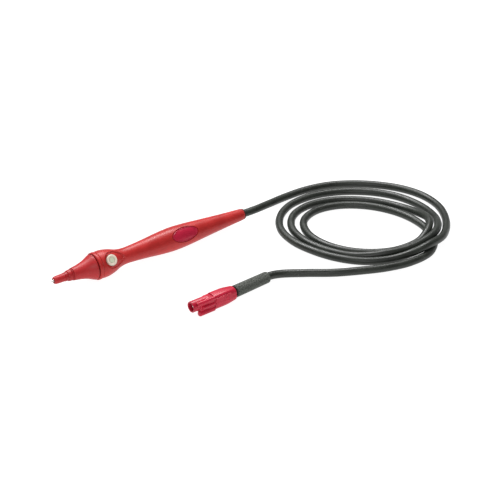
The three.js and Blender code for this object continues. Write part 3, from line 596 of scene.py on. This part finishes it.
def shell_stations(fine):
    """(along, outside radius, inside radius) of a shell, from its spigot back to its tail."""
    front, spigot = MOUTH
    bore = spigot - SPIGOT_WALL
    found = [(front, spigot - 0.25, bore + 0.2), (front + 0.2, spigot, bore)]
    found += [(x, spigot, bore) for x in np.linspace(front + 0.6, SHOULDER - 0.02, 6)]
    rim = handle_radius(SHOULDER) - 0.25
    found += [(SHOULDER + x, rim + rise, bore) for x, rise in ((0, 0), (0.06, 0.14), (0.25, 0.25))]
    close, wide = (0.3, 0.35) if fine else (1.2, 1.4)
    badge_front, badge_rear = BADGE_REGION
    places = np.concatenate([
        np.arange(SHOULDER + 0.7, WELL_END, close), np.arange(WELL_END + 0.6, badge_front - 0.4, 1.2),
        np.arange(badge_front, badge_rear, wide), np.arange(badge_rear + 1, HANDLE_REAR - 0.4, 1.3),
        [HANDLE_REAR - 0.25, HANDLE_REAR],
    ])
    sunk_wall = RECESS_FLOOR - 0.66
    for x in places:
        out = float(handle_radius(x))
        least = BACK_BORE if x < HANDLE_REAR - GROMMET_REGION else SEAT_BORE
        inside = max(out - sizes().shell_wall / MM, least)
        if x < BORE_END:
            inside = bore
        elif x < WELL_END:
            inside = min(inside, sunk_wall)
        found.append((x, out - (0.14 if x == HANDLE_REAR else 0), inside))
    return found


def shell(name, half, steps, fine):
    """One half of the handle: +1 carries the button and the badge, -1 lies on the table."""
    seam = sizes().seam / MM / 2
    loops, middles = [], []
    for x, out, inside in shell_stations(fine):
        wraps = []
        for radius in (out, inside):
            start = math.asin(seam / radius)
            angles = np.linspace(start, math.pi - start, steps + 1)
            from_edge = np.minimum(angles - start, math.pi - start - angles) * radius
            round_ = 0.12 * np.exp(-from_edge / 0.16) if radius == out else 0
            r = radius - round_
            ring = [np.full_like(angles, x), r * np.cos(angles), half * r * np.sin(angles)]
            wraps.append(np.column_stack(ring))
        if half > 0:
            wraps[0] = with_recesses(wraps[0])
        loops.append(np.vstack([wraps[0], wraps[1][::-1], wraps[0][:1]]))
        middles.append((wraps[0] + wraps[1]) / 2)
    ends = [np.vstack([m, m[::-1], m[:1]]) for m in (middles[0], middles[-1])]
    return sheet(name, [ends[0], *loops, ends[1]])


def boss(x, half):
    """The post that a shell screw runs in, inside one shell."""
    top = math.sqrt(float(handle_radius(x)) ** 2 - BOSS_RADIUS**2) - 0.2
    low, high = (SHELL_GAP, top) if half > 0 else (-top, -SHELL_GAP)
    return post(x, 0, low, high, BOSS_RADIUS)


def screw_places():
    return [sum(span(node)[i][0] for i in (0, 1)) / 2 for node in ("shell_screw_1", "shell_screw_2")]


class PROBE_OT_upper_shell(bpy.types.Operator):
    """Models the upper shell with the button's recess and well and the badge's pocket"""

    bl_idname = "probe.upper_shell"
    bl_label = "Upper shell"

    def execute(self, context):
        obj = shell("upper_shell", 1, 110, True)
        for x in screw_places():
            plus(obj, boss(x, 1))
            less(obj, post(x, 0, -1, span("shell_screw_1")[1][2] + 0.3, SCREW_BORE))
        less(obj, post(BUTTON_X, 0, 1, 20, BUTTON_RADIUS + BUTTON_GAP, FINE))
        less(obj, post(BUTTON_X, 0, 0.3, WELL_CEILING, WELL_RADIUS, FINE))
        seated(obj, PROBE, "handle", handle_finish(), "handle_red", "handle_shell_upper")
        return {"FINISHED"}


class PROBE_OT_lower_shell(bpy.types.Operator):
    """Models the lower shell with the wells of its two screws"""

    bl_idname = "probe.lower_shell"
    bl_label = "Lower shell"

    def execute(self, context):
        obj = shell("lower_shell", -1, 84, False)
        for x in screw_places():
            plus(obj, boss(x, -1))
            floor = HEAD_SINK - float(handle_radius(x))
            less(obj, post(x, 0, -20, floor, HEAD_BORE), post(x, 0, -20, 1, SCREW_BORE))
        seated(obj, PROBE, "handle", handle_finish(), "handle_red", "handle_shell_lower")
        return {"FINISHED"}


class PROBE_OT_guard(bpy.types.Operator):
    """Models the guard ring with its rolled front rim"""

    bl_idname = "probe.guard"
    bl_label = "Guard ring"

    def execute(self, context):
        outline = [
            (36.7, 5.7), (35.8, 5.7), (35.8, 8.7), (35.72, 9.0), (35.64, 9.3), (35.62, 9.56),
            (35.68, 9.84), (35.84, 10.08), (36.1, 10.25), (36.45, 10.34), (36.9, 10.36), (37.6, 10.34),
            (38.0, 10.31), (38.24, 10.24), (38.37, 10.12), (38.4, 9.95), (38.4, 8.2), (36.7, 8.2),
        ]
        obj = turned("guard", outline, 128)
        seated(obj, PROBE, "handle", handle_finish(), "handle_red", "guard_ring")
        return {"FINISHED"}


class PROBE_OT_nose(bpy.types.Operator):
    """Models the nose cone and the seal behind it"""

    bl_idname = "probe.nose"
    bl_label = "Nose cone"

    def execute(self, context):
        outline = [
            (11.2, 2.3), (11.2, 2.8), (11.4, 3.0), (17.4, 3.0), (17.4, 4.4), (17.47, 4.58), (17.65, 4.7),
            (18.6, 4.84), (20.0, 5.03), (22.1, 5.34), (23.8, 5.66), (25.5, 6.04), (27.1, 6.46),
            (28.6, 6.94), (29.9, 7.44), (31.0, 7.92), (32.0, 8.4), (33.0, 8.88), (33.8, 9.22),
            (34.3, 9.4), (34.6, 9.46), (34.8, 9.4), (34.88, 9.24), (34.9, 9.05), (34.9, 5.4), (38.3, 5.4),
            (38.5, 5.2), (38.5, 2.3),
        ]
        obj = turned("nose", outline, 128)
        seated(obj, PROBE, "handle", tip_finish(), "cone_red", "nose_cone", angle=40)
        ring = turned("seal", arc((35.35, 5.9), 0.2, 0, 360, 10)[:-1], FINE)
        seated(ring, PROBE, "handle", rubber_finish(), "rubber_black", "nose_seal")
        return {"FINISHED"}


class PROBE_OT_tip(bpy.types.Operator):
    """Models the sliding tip cap with its two grooves, and the metal point inside it"""

    bl_idname = "probe.tip"
    bl_label = "Tip"

    def execute(self, context):
        outline = [
            (2.9, 1.35), (2.4, 1.55), (2.12, 1.8), (2.1, 2.0), (2.22, 2.24), (2.5, 2.46), (3.1, 2.7),
            (4.0, 2.88), (5.2, 2.97), (8.2, 3.02), (10.6, 3.07), (11.8, 3.12), (12.2, 3.12), (12.3, 2.98),
            (12.4, 2.8), (12.9, 2.8), (13.0, 3.4), (13.1, 3.7), (13.35, 3.9), (14.4, 4.04), (15.2, 4.14),
            (15.6, 4.2), (15.7, 4.1), (15.75, 3.7), (16.26, 3.72), (16.32, 4.16), (16.44, 4.3),
            (16.75, 4.36), (16.98, 4.3), (17.1, 4.12), (17.1, 3.3), (10.9, 3.3), (10.9, 1.35),
        ]
        cap = turned("tip_sheath", outline)
        seated(cap, PROBE, "tip_sheath", tip_finish(), "cone_red", "tip_cap", angle=40)
        point = [
            (0, 0), (0.06, 0.12), (0.55, 0.36), (1.4, 0.72), (2.1, 0.96), (2.5, 1.0), (14, 1.0),
            (14.6, 1.95), (14.8, 2.0), (PIN_END - 0.2, 2.0), (PIN_END, 1.8), (PIN_END, 0),
        ]
        pin = turned("metal_point", point, COARSE)
        seated(pin, PROBE, "handle", nickel(), "nickel", "tip_pin")
        return {"FINISHED"}


class PROBE_OT_button(bpy.types.Operator):
    """Models the push button with its dish and the pale disc in it"""

    bl_idname = "probe.button"
    bl_label = "Button"

    def execute(self, context):
        top, radius = BUTTON_TOP, BUTTON_RADIUS - 0.2
        ceiling, skirt = top - 1.7, BUTTON_LOW[2]
        lip, inner, dish = BUTTON_RADIUS + 0.5, radius - 0.8, radius - 1.75
        outline = [
            (ceiling, 0), (ceiling, inner), (skirt, inner), (skirt, lip), (skirt + 0.6, lip),
            (skirt + 0.6, radius), (top - 0.6, radius), (top - 0.42, radius - 0.03),
            (top - 0.2, radius - 0.15), (top - 0.05, radius - 0.36), (top, radius - 0.6),
            (top, dish + 0.32), (top - 0.05, dish + 0.16), (top - 0.18, dish + 0.06), (top - 0.7, dish),
            (top - 0.7, 0),
        ]
        cap = turned("push_button", outline, FINE, "Z", (BUTTON_X, 0, 0))
        seated(cap, PROBE, "button", button_finish(), "button_ivory", "button_cap", angle=40)
        disc = [
            (top - 0.4, 0), (top - 0.4, dish - 0.3), (top - 0.2, dish - 0.28), (top - 0.12, dish - 0.34),
            (top - 0.1, dish - 0.48), (top - 0.14, 1.9), (top - 0.2, 1.4), (top - 0.25, 0.9),
            (top - 0.28, 0.4), (top - 0.29, 0),
        ]
        inlay = turned("button_disc", disc, FINE, "Z", (BUTTON_X, 0, 0))
        seated(inlay, PROBE, "button", inlay_finish(), "button_pale_green", "button_inlay", angle=40)
        return {"FINISHED"}


class PROBE_OT_badge(bpy.types.Operator):
    """Models the blank oval badge, curved to the grip, with a raised rim"""

    bl_idname = "probe.badge"
    bl_label = "Badge"

    def execute(self, context):
        rim = sizes().badge_rim / MM
        rings = [
            (0.0, -0.98), (0.5, -0.98), (0.99, -0.98), (1.0, -0.9), (1.0, -0.42), (0.992, -0.32),
            (0.975, -0.3 + rim * 0.6), (0.955, -0.32 + rim), (0.93, -0.32 + rim),
            (0.91, -0.32 + rim * 0.6), (0.895, -0.34), (0.875, -0.38),
        ]
        rings += [(s, -0.38 + 0.04 * (1 - s)) for s in (0.8, 0.7, 0.6, 0.5, 0.4, 0.3, 0.2, 0.1, 0.0)]
        angles = np.linspace(0, FULL, 129)
        rows = []
        for share, height in rings:
            x = BADGE_X + BADGE_HALF[0] * share * np.cos(angles)
            y = BADGE_HALF[1] * share * np.sin(angles)
            z = np.sqrt(handle_radius(x) ** 2 - y**2) + height
            rows.append(np.column_stack([x, y, z]))
        obj = sheet("badge", rows)
        seated(obj, PROBE, "handle", badge_finish(), "badge_red", "badge_plate", angle=40)
        return {"FINISHED"}


class PROBE_OT_grommet(bpy.types.Operator):
    """Models the rubber grommet where the lead leaves the handle"""

    bl_idname = "probe.grommet"
    bl_label = "Grommet"

    def execute(self, context):
        end = HANDLE_REAR
        outline = [
            (end - 5, 3.3), (end - 5, 3.6), (end + 0.3, 3.6), (end + 0.3, 3.95), (end + 0.4, 4.08),
            (end + 0.7, 4.12), (end + 1.0, 4.02), (end + 1.35, 3.8), (end + 1.55, 3.56), (end + 1.6, 3.4),
            (end + 1.6, 3.3),
        ]
        obj = turned("grommet", outline, 72)
        seated(obj, PROBE, "handle", rubber_finish(), "rubber_black", "rear_grommet")
        return {"FINISHED"}


# ---------------------------------------------------------------- plug
SECTION = np.array([
    [4.7, 1.6], [3.2, 3.9], [-3.5, 4.4], [-5.2, 2.9], [-5.5, -4.0], [-4.2, -7.1], [1.6, -7.1],
    [4.1, -4.2],
])
SECTION_MIDDLE = np.array([-0.6, -1.6])
CORNER_CUT, TAIL_RADIUS = 0.22, 5.1
BODY_FRONT, BODY_TAPER, BODY_REAR = 17.5, 27.0, 36.4
SPLIT, SPLIT_GAP = -1.2, 0.04
SOCKET_AT, SHROUD_BORE = (-4.7, 3.4), 3.05
LEAD_IN = Vector((11.0, -84.1, 5.95))
SLEEVE_MOUTH = Vector((44.1, -80.9, 4.5))


def lead_place():
    """The lead's own frame behind the plug: x runs from the plug to the sleeve's mouth."""
    back = (SLEEVE_MOUTH - LEAD_IN).normalized()
    side = Vector((0, 0, 1)).cross(back).normalized()
    turn = Matrix((back, side, back.cross(side))).transposed().to_4x4()
    return Matrix.Translation(LEAD_IN * MM) @ turn


def plug_loop(x, inset=0.0, tail=0.0):
    """The plug body's section at x, drawn in by an inset and rounded towards its tail."""
    count = len(SECTION)
    points = []
    for i in range(count):
        for other in (SECTION[i - 1], SECTION[(i + 1) % count]):
            points.append(SECTION[i] + (other - SECTION[i]) * CORNER_CUT)
    out = np.array(points) - SECTION_MIDDLE
    reach = np.hypot(out[:, 0], out[:, 1])[:, None]
    at = SECTION_MIDDLE + out / reach * (reach + (TAIL_RADIUS - reach) * tail - inset)
    return np.column_stack([np.full(len(at), x), at])


def plug_skin(name, inset, start, end, steps=12):
    """The plug body's outside, drawn in by an inset, from one place to another."""
    places = [start, *[x for x in np.linspace(BODY_TAPER, BODY_REAR, steps) if start < x < end], end]
    tails = [np.clip((x - BODY_TAPER) / (BODY_REAR - BODY_TAPER), 0, 1) ** 1.5 for x in places]
    return lofted(name, [plug_loop(x, inset, tail) for x, tail in zip(places, tails)])


def slab(x, y, z, round_=0.0):
    """A block between pairs of limits, with rounded edges."""
    clear()
    bpy.ops.mesh.primitive_cube_add(size=1)
    obj = bpy.context.object
    only(obj)
    obj.scale = (x[1] - x[0], y[1] - y[0], z[1] - z[0])
    obj.location = ((x[0] + x[1]) / 2, (y[0] + y[1]) / 2, (z[0] + z[1]) / 2)
    bpy.ops.object.transform_apply(location=True, rotation=True, scale=True)
    return bevelled(obj, round_, 3) if round_ else obj


class PROBE_OT_plug_nose(bpy.types.Operator):
    """Models the plug's nose: the shroud round the pin, the socket's barrel and the locating prong"""

    bl_idname = "probe.plug_nose"
    bl_label = "Plug nose"

    def execute(self, context):
        insets = ((8.6, 1.7), (12.4, 0.5), (13.4, 0.35), (17.2, 0.35))
        obj = lofted("plug_nose_moulding", [plug_loop(x, inset) for x, inset in insets])
        bevelled(obj, 0.3, 3, 20)
        web = [[-4.7, -5.6], [-4.7, 2.6], [-3.6, 3.7], [-0.4, 3.2], [0.8, -3.4], [-1.6, -6.9], [-4.2, -6.9]]
        loops = [np.column_stack([np.full(7, x), np.array(web) * s + np.array([-3.0, -1.8]) * (1 - s)])
                 for x, s in ((5.2, 0.9), (5.8, 0.96), (13.6, 1.0))]
        plus(obj, bevelled(lofted("web", loops), 0.5, 3, 20))
        plus(obj, lofted("spigot", [plug_loop(16.7, 1.6), plug_loop(19.6, 1.6)]))
        shroud = [
            (0.35, 0), (0.12, 3.2), (0.02, 3.4), (0, 3.62), (0.06, 3.88), (0.24, 4.06), (0.5, 4.1),
            (14, 4.1), (14, 0),
        ]
        plus(obj, turned("shroud", shroud))
        prong = [(4, 0), (4, 1.2), (4.15, 1.6), (4.5, 1.9), (5.0, 2.05), (17.1, 2.05), (17.1, 0)]
        barrel = [(2, 0), (2, 1.3), (2.1, 1.44), (2.3, 1.5), (17.2, 1.5), (17.2, 0)]
        ridge = [(6.6, 0), (6.6, 0.7), (6.75, 1.1), (7.1, 1.3), (17.1, 1.3), (17.1, 0)]
        plus(obj, turned("prong", prong, COARSE, "X", (0, -3.8, -5.2)))
        plus(obj, turned("barrel", barrel, COARSE, "X", (0, *SOCKET_AT)))
        plus(obj, turned("ridge", ridge, COARSE, "X", (0, -4.75, -0.9)))
        less(obj, rod(-1, 12, SHROUD_BORE, steps=FINE), rod(-1, 21, 1.6), rod(-1, 11.5, 1.0, *SOCKET_AT))
        less(obj, turned("lead_in", [(-0.1, 0), (-0.1, 3.35), (0.35, SHROUD_BORE), (0.35, 0)]))
        seated(obj, PLUG, "handle", plug_finish(), "plug_red", "plug_nose", angle=28)
        return {"FINISHED"}


def plug_body():
    """The plug's hollow body with its side panel and grip dots."""
    body = bevelled(plug_skin("body", 0, BODY_FRONT, BODY_REAR), 0.28, 3, 14)
    plus(body, slab((18.3, 31.2), (-5.62, -3.5), (-2.7, 2.55), 0.3))
    for i in range(5):
        for z in (-2.1, -0.45, 0.4, 1.25, 2.1):
            dot = turned("dot", [(-5.9, 0), (-5.84, 0.16), (-5.72, 0.26), (-5.4, 0.3), (-5.4, 0)], 12)
            place = Matrix.Translation((25.4 + 1.15 * i, 0, z))
            dot.data.transform(place @ Matrix.Rotation(math.pi / 2, 4, "Z"))
            plus(body, dot)
    less(body, plug_skin("hollow", 1.3, BODY_FRONT - 1, BODY_REAR - 2.4))
    return body


class PROBE_OT_plug_body(bpy.types.Operator):
    """Models the plug's two shells, split along their moulding line"""

    bl_idname = "probe.plug_body"
    bl_label = "Plug body"

    def execute(self, context):
        halves = (("plug_top", "plug_shell_top", 1), ("plug_bottom", "plug_shell_bottom", -1))
        for name, node, keep in halves:
            obj = plug_body()
            obj.name = obj.data.name = name
            bore = rod(-12, 6, 3.3, steps=64)
            scale = Matrix.Scale(1 / MM, 4)
            bore.data.transform(scale @ PLUG.inverted() @ lead_place() @ Matrix.Scale(MM, 4))
            less(obj, bore)
            low, high = (SPLIT + SPLIT_GAP, 20) if keep > 0 else (-20, SPLIT - SPLIT_GAP)
            combined(obj, slab((0, 60), (-30, 30), (low, high)), "INTERSECT")
            if keep < 0:
                x, y = BODY_FRONT + 6, 1.6
                plus(obj, post(x, y, -6.4, -1.4, 2.1, 32))
                less(obj, post(x, y, -20, -5.4, 1.9, 32), post(x, y, -20, 1, 1.1, 32))
            seated(obj, PLUG, "handle", plug_finish(), "plug_red", node, angle=28)
        return {"FINISHED"}


class PROBE_OT_plug_contacts(bpy.types.Operator):
    """Models the plug's pin and the sprung cage round it"""

    bl_idname = "probe.plug_contacts"
    bl_label = "Plug contacts"

    def execute(self, context):
        outline = [
            (1.6, 0), (1.62, 0.45), (1.75, 0.8), (2.0, 1.06), (2.35, 1.24), (2.8, 1.3), (19.9, 1.3),
            (19.9, 1.85), (25, 1.85), (25, 1.2), (22, 1.2), (22, 0),
        ]
        pin = turned("centre_pin", outline, 64)
        seated(pin, PLUG, "handle", nickel(), "nickel", "plug_pin")
        outside = [
            (2.8, 1.55), (2.8, 1.68), (2.86, 1.73), (3.6, 1.86), (4.85, 1.99), (6.9, 2.02), (8.95, 1.99),
            (10.2, 1.86), (11, 1.7), (11, 1.55), (10.2, 1.68), (8.95, 1.82), (6.9, 1.85), (4.85, 1.82),
            (3.6, 1.69),
        ]
        cage = turned("spring_cage", outside, 64)
        for i in range(6):
            slot = slab((4.0, 9.8), (-0.16, 0.16), (0.9, 4))
            slot.data.transform(Matrix.Rotation(FULL * i / 6, 4, "X"))
            less(cage, slot)
        seated(cage, PLUG, "handle", nickel(), "nickel", "plug_spring_cage")
        return {"FINISHED"}


class PROBE_OT_sleeve(bpy.types.Operator):
    """Models the ribbed sleeve that the lead runs through behind the plug"""

    bl_idname = "probe.sleeve"
    bl_label = "Sleeve"

    def execute(self, context):
        end = (SLEEVE_MOUTH - LEAD_IN).length
        places = np.arange(2.4, end - 0.9, 0.4)
        ripple = [(float(x), 4.47 - 0.22 * x / end + 0.03 * math.sin(FULL * x / 1.6)) for x in places]
        outline = [
            (1.5, 3.4), (1.5, 4.25), (1.62, 4.42), (1.9, 4.48), *ripple, (end - 0.5, 4.24),
            (end - 0.15, 4.14), (end, 3.95), (end, 3.4),
        ]
        obj = turned("lead_sleeve", outline, 72)
        seated(obj, lead_place(), "handle", sleeve_finish(), "sleeve_grey", "cable_sleeve")
        return {"FINISHED"}


# ---------------------------------------------------------------- lead
# The lead's route over the table, in millimetres: out of the handle, round in loose turns, and to the plug.
ROUTE = [
    (98.4, 0.6, 7), (114.9, 4.2, 5), (134.9, 7.5, 3.3), (154.4, 7, 3), (173.9, 2, 3),
    (190.9, -8, 3), (205.4, -22, 3), (216.4, -39, 3), (221.4, -58, 3), (218.9, -77.5, 3.2),
    (209.4, -95, 3.7), (195.4, -110, 5), (179.9, -120.5, 7.5), (165.4, -124, 9), (150.4, -122.5, 6.5),
    (132.4, -116, 3.6), (115.4, -105, 3), (103.4, -89, 3), (96.4, -70, 3), (93.9, -50, 3),
    (98.4, -30.5, 3), (110.4, -15, 3), (127.4, -5.5, 3), (147.4, -3.5, 3), (166.9, -8.5, 3),
    (183.9, -19, 3), (197.4, -33.5, 3), (205.9, -51.5, 3), (207.4, -71.5, 3.5), (201.9, -90.5, 5),
    (190.4, -106, 8), (177.9, -114.5, 9.2), (163.4, -117, 8), (148.4, -116, 6.8), (134.4, -111, 6),
    (121.9, -102.5, 4.2), (111.9, -91, 3), (103.9, -73.5, 3), (101.4, -53.5, 3), (106.4, -34, 3),
    (119.4, -20, 3), (137.9, -14.5, 3), (157.4, -18.5, 3), (173.9, -29.5, 3), (186.9, -45, 3),
    (194.4, -63.5, 3.6), (194.9, -82.5, 6.2), (189.9, -96.5, 9.2), (179.4, -106.5, 8.5), (165.9, -111, 5),
    (146.9, -109, 3.2), (129.4, -100.5, 3), (116.4, -86.5, 3), (109.4, -68, 3), (110.4, -48, 3),
    (120.4, -31.5, 3), (138.4, -24.5, 3), (157.4, -28.5, 3), (173.4, -41, 3), (183.9, -58, 3),
    (188.4, -77, 3), (186.4, -97, 3), (177.9, -115, 3), (162.4, -126, 3), (142.4, -127.5, 3),
    (122.9, -122.5, 3), (104.9, -114, 3), (87.4, -104, 3), (70.9, -91.5, 3), (55.9, -82, 3.4),
]
FLAT_ON = 3.0  # height of the lead's middle where it lies on the table


def lead_points():
    """The lead's centreline in metres, on one smooth curve through its route."""
    exit_ = PROBE @ (Vector((HANDLE_REAR + 1.9, 0, 0)) * MM) / MM
    end = (SLEEVE_MOUTH - LEAD_IN).length
    along = (SLEEVE_MOUTH - LEAD_IN) / end
    last = [LEAD_IN + along * d for d in (end + 3, end - 8, end / 2, -4)]
    knots = np.array([tuple(exit_), *ROUTE, *[tuple(p) for p in last]])
    knots = np.vstack([2 * knots[0] - knots[1], knots, 2 * knots[-1] - knots[-2]])
    found = []
    for i in range(1, len(knots) - 2):
        p0, p1, p2, p3 = knots[i - 1 : i + 3]
        d0, d1, d2 = (max(np.linalg.norm(b - a), 1e-9) ** 0.5 for a, b in ((p0, p1), (p1, p2), (p2, p3)))
        t1 = ((p1 - p0) / d0 - (p2 - p0) / (d0 + d1) + (p2 - p1) / d1) * d1
        t2 = ((p2 - p1) / d1 - (p3 - p1) / (d1 + d2) + (p3 - p2) / d2) * d1
        square, cube = 3 * (p2 - p1) - 2 * t1 - t2, 2 * (p1 - p2) + t1 + t2
        found += [p1 + t1 * t + square * t**2 + cube * t**3 for t in np.linspace(0, 1, 40, endpoint=False)]
    found = np.array([*found, knots[-2]])
    found[:, 2] = np.maximum(found[:, 2], FLAT_ON + 0.01)
    run = np.concatenate([[0], np.cumsum(np.linalg.norm(np.diff(found, axis=0), axis=1))])
    places = np.linspace(0, run[-1], round(run[-1] / (sizes().lead_step / MM)) + 1)
    return np.column_stack([np.interp(places, run, found[:, i]) for i in range(3)]) * MM


class PROBE_OT_lead(bpy.types.Operator):
    """Lays the lead along its route as one tube"""

    bl_idname = "probe.lead"
    bl_label = "Lead"

    def execute(self, context):
        points = lead_points()
        line = bpy.data.curves.new("lead", "CURVE")
        line.dimensions, line.resolution_u = "3D", 1
        spline = line.splines.new("POLY")
        spline.points.add(len(points) - 1)
        spline.points.foreach_set("co", np.column_stack([points, np.ones(len(points))]).reshape(-1))
        line.bevel_depth, line.bevel_resolution, line.use_fill_caps = sizes().lead_diameter / 2, 4, True
        obj = bpy.data.objects.new("lead", line)
        context.scene.collection.objects.link(obj)
        only(obj)
        bpy.ops.object.convert(target="MESH")
        obj = context.object
        obj.name = obj.data.name = "lead"
        bpy.ops.object.mode_set(mode="EDIT")
        closed(1e-6)
        bpy.ops.object.shade_smooth_by_angle(angle=math.radians(40))
        obj.data.materials.clear()
        obj.data.materials.append(lead_finish())
        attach(obj, "handle")
        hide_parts("cable")
        return {"FINISHED"}


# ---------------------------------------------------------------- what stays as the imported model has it
class PROBE_OT_inner_parts(bpy.types.Operator):
    """Gives the parts inside the handle and the plug their finishes"""

    bl_idname = "probe.inner_parts"
    bl_label = "Inner parts"

    def execute(self, context):
        dark = finish("dark_plastic", (0.02, 0.021, 0.023), 0.5, grain=3000.0, depth=0.01, deep=0.7)
        board = finish(
            "board_green", (0.02, 0.13, 0.045), 0.35, grain=5000.0, tone=400.0, depth=0.006, deep=0.8,
            coat=0.3,
        )
        wires = {
            "core_tip": (0.38, 0.03, 0.03), "core_switch_a": (0.03, 0.08, 0.28),
            "core_switch_b": (0.7, 0.7, 0.66), "plug_core_main": (0.38, 0.03, 0.03),
        }
        kept = {
            "tip_bush": dark, "switch_plunger": dark, "switch_body": dark, "coding_resistor": dark,
            "switch_board": board, "inner_cable": lead_finish(), "tip_terminal": brass(),
            "signal_socket": brass(), "cable_ferrule": nickel(), "shell_screw_1": steel(),
            "shell_screw_2": steel(), "plug_screw": steel(),
        }
        for node, base in wires.items():
            kept[node] = finish(node + "_jacket", base, 0.42, grain=5000.0, depth=0.008, deep=0.85)
        for node, material in kept.items():
            mesh = frame["nodes"][node].data
            mesh.materials.clear()
            mesh.materials.append(material)
        return {"FINISHED"}


# ---------------------------------------------------------------- stage
CAMERA_AT = Vector((-0.52647, -0.78459, 0.550))
LOOKED_AT = Vector((0.0636, -0.0367, 0.0))
LENS, SENSOR = 106.04, 36.0
GLOW = 0.95  # the table top is a lit pane, so that hardly a shadow shows on it


def softbox(name, at, towards, size, power):
    light = bpy.data.lights.new(name, "AREA")
    light.shape, light.size, light.size_y, light.energy = "RECTANGLE", size[0], size[1], power
    obj = bpy.data.objects.new(name, light)
    obj.location = at
    obj.rotation_euler = (Vector(towards) - Vector(at)).to_track_quat("-Z", "Y").to_euler()
    bpy.context.scene.collection.objects.link(obj)


class PROBE_OT_stage(bpy.types.Operator):
    """Sets the camera, the soft studio lights, the pale surroundings and the table top"""

    bl_idname = "probe.stage"
    bl_label = "Stage"

    def execute(self, context):
        scene = context.scene
        camera = bpy.data.cameras.new("camera")
        camera.lens, camera.sensor_width, camera.clip_start = LENS, SENSOR, 0.01
        stand = bpy.data.objects.new("camera", camera)
        stand.location = CAMERA_AT
        stand.rotation_euler = (LOOKED_AT - CAMERA_AT).to_track_quat("-Z", "Y").to_euler()
        scene.collection.objects.link(stand)
        scene.camera = stand
        scene.view_settings.view_transform = "Standard"
        scene.view_settings.look = "None"
        scene.view_settings.exposure = 0.0
        world = bpy.data.worlds.new("studio")
        world.use_nodes = True
        world.node_tree.nodes["Background"].inputs["Color"].default_value = (1.0, 1.0, 1.0, 1.0)
        world.node_tree.nodes["Background"].inputs["Strength"].default_value = 0.25
        scene.world = world
        softbox("overhead", (0.15, 0.4, 1.15), (0.05, -0.03, 0.0), (1.6, 0.9), 9.0)
        softbox("strip", (0.25, 0.55, 0.95), (0.03, -0.02, 0.0), (0.9, 0.2), 12.0)
        softbox("front_fill", (-0.75, -1.0, 0.75), (0.0, -0.03, 0.0), (0.7, 0.7), 5.0)
        clear()
        bpy.ops.mesh.primitive_plane_add(size=8, location=(0, 0, 0))
        floor = context.object
        floor.name = floor.data.name = "table_top"
        made, tree, shader = bare_material("table_top")
        shader.inputs["Roughness"].default_value = 0.9
        shader.inputs["Specular IOR Level"].default_value = 0.0
        shader.inputs["Emission Color"].default_value = (1.0, 1.0, 1.0, 1.0)
        shader.inputs["Emission Strength"].default_value = GLOW
        place = tree.nodes.new("ShaderNodeTexCoord")
        paper = ramp(tree, noise(tree, place.outputs["Object"], 60.0, 3.0), 0.2, 0.8)
        glass = tinted(colours().floor, 0.2)
        tree.links.new(mixed(tree, paper, tinted(glass[:3], 0.985), glass), shader.inputs["Base Color"])
        floor.data.materials.append(made)
        return {"FINISHED"}


PIECES = (
    PROBE_OT_stage, PROBE_OT_upper_shell, PROBE_OT_lower_shell, PROBE_OT_guard, PROBE_OT_nose, PROBE_OT_tip,
    PROBE_OT_button, PROBE_OT_badge, PROBE_OT_grommet, PROBE_OT_plug_nose, PROBE_OT_plug_body,
    PROBE_OT_plug_contacts, PROBE_OT_sleeve, PROBE_OT_inner_parts, PROBE_OT_lead,
)


class PROBE_PT_panel(bpy.types.Panel):
    """Lists the probe's pieces, sizes and colours"""

    bl_label = "Probe"
    bl_idname = "PROBE_PT_panel"
    bl_space_type = "VIEW_3D"
    bl_region_type = "UI"
    bl_category = "Probe"

    def draw(self, context):
        layout = self.layout
        for piece in PIECES:
            layout.operator(piece.bl_idname)
        for settings in (context.scene.probe_sizes, context.scene.probe_colours):
            box = layout.box()
            for name in settings.__annotations__:
                box.prop(settings, name)


CLASSES = (ProbeSizes, ProbeColours, *PIECES, PROBE_PT_panel)


def register():
    for cls in CLASSES:
        bpy.utils.register_class(cls)
    bpy.types.Scene.probe_sizes = PointerProperty(type=ProbeSizes)
    bpy.types.Scene.probe_colours = PointerProperty(type=ProbeColours)


def unregister():
    del bpy.types.Scene.probe_sizes
    del bpy.types.Scene.probe_colours
    for cls in reversed(CLASSES):
        bpy.utils.unregister_class(cls)


def main():
    register()
    for piece in PIECES:
        area, name = piece.bl_idname.split(".")
        getattr(getattr(bpy.ops, area), name)()


if __name__ == "__main__":
    main()
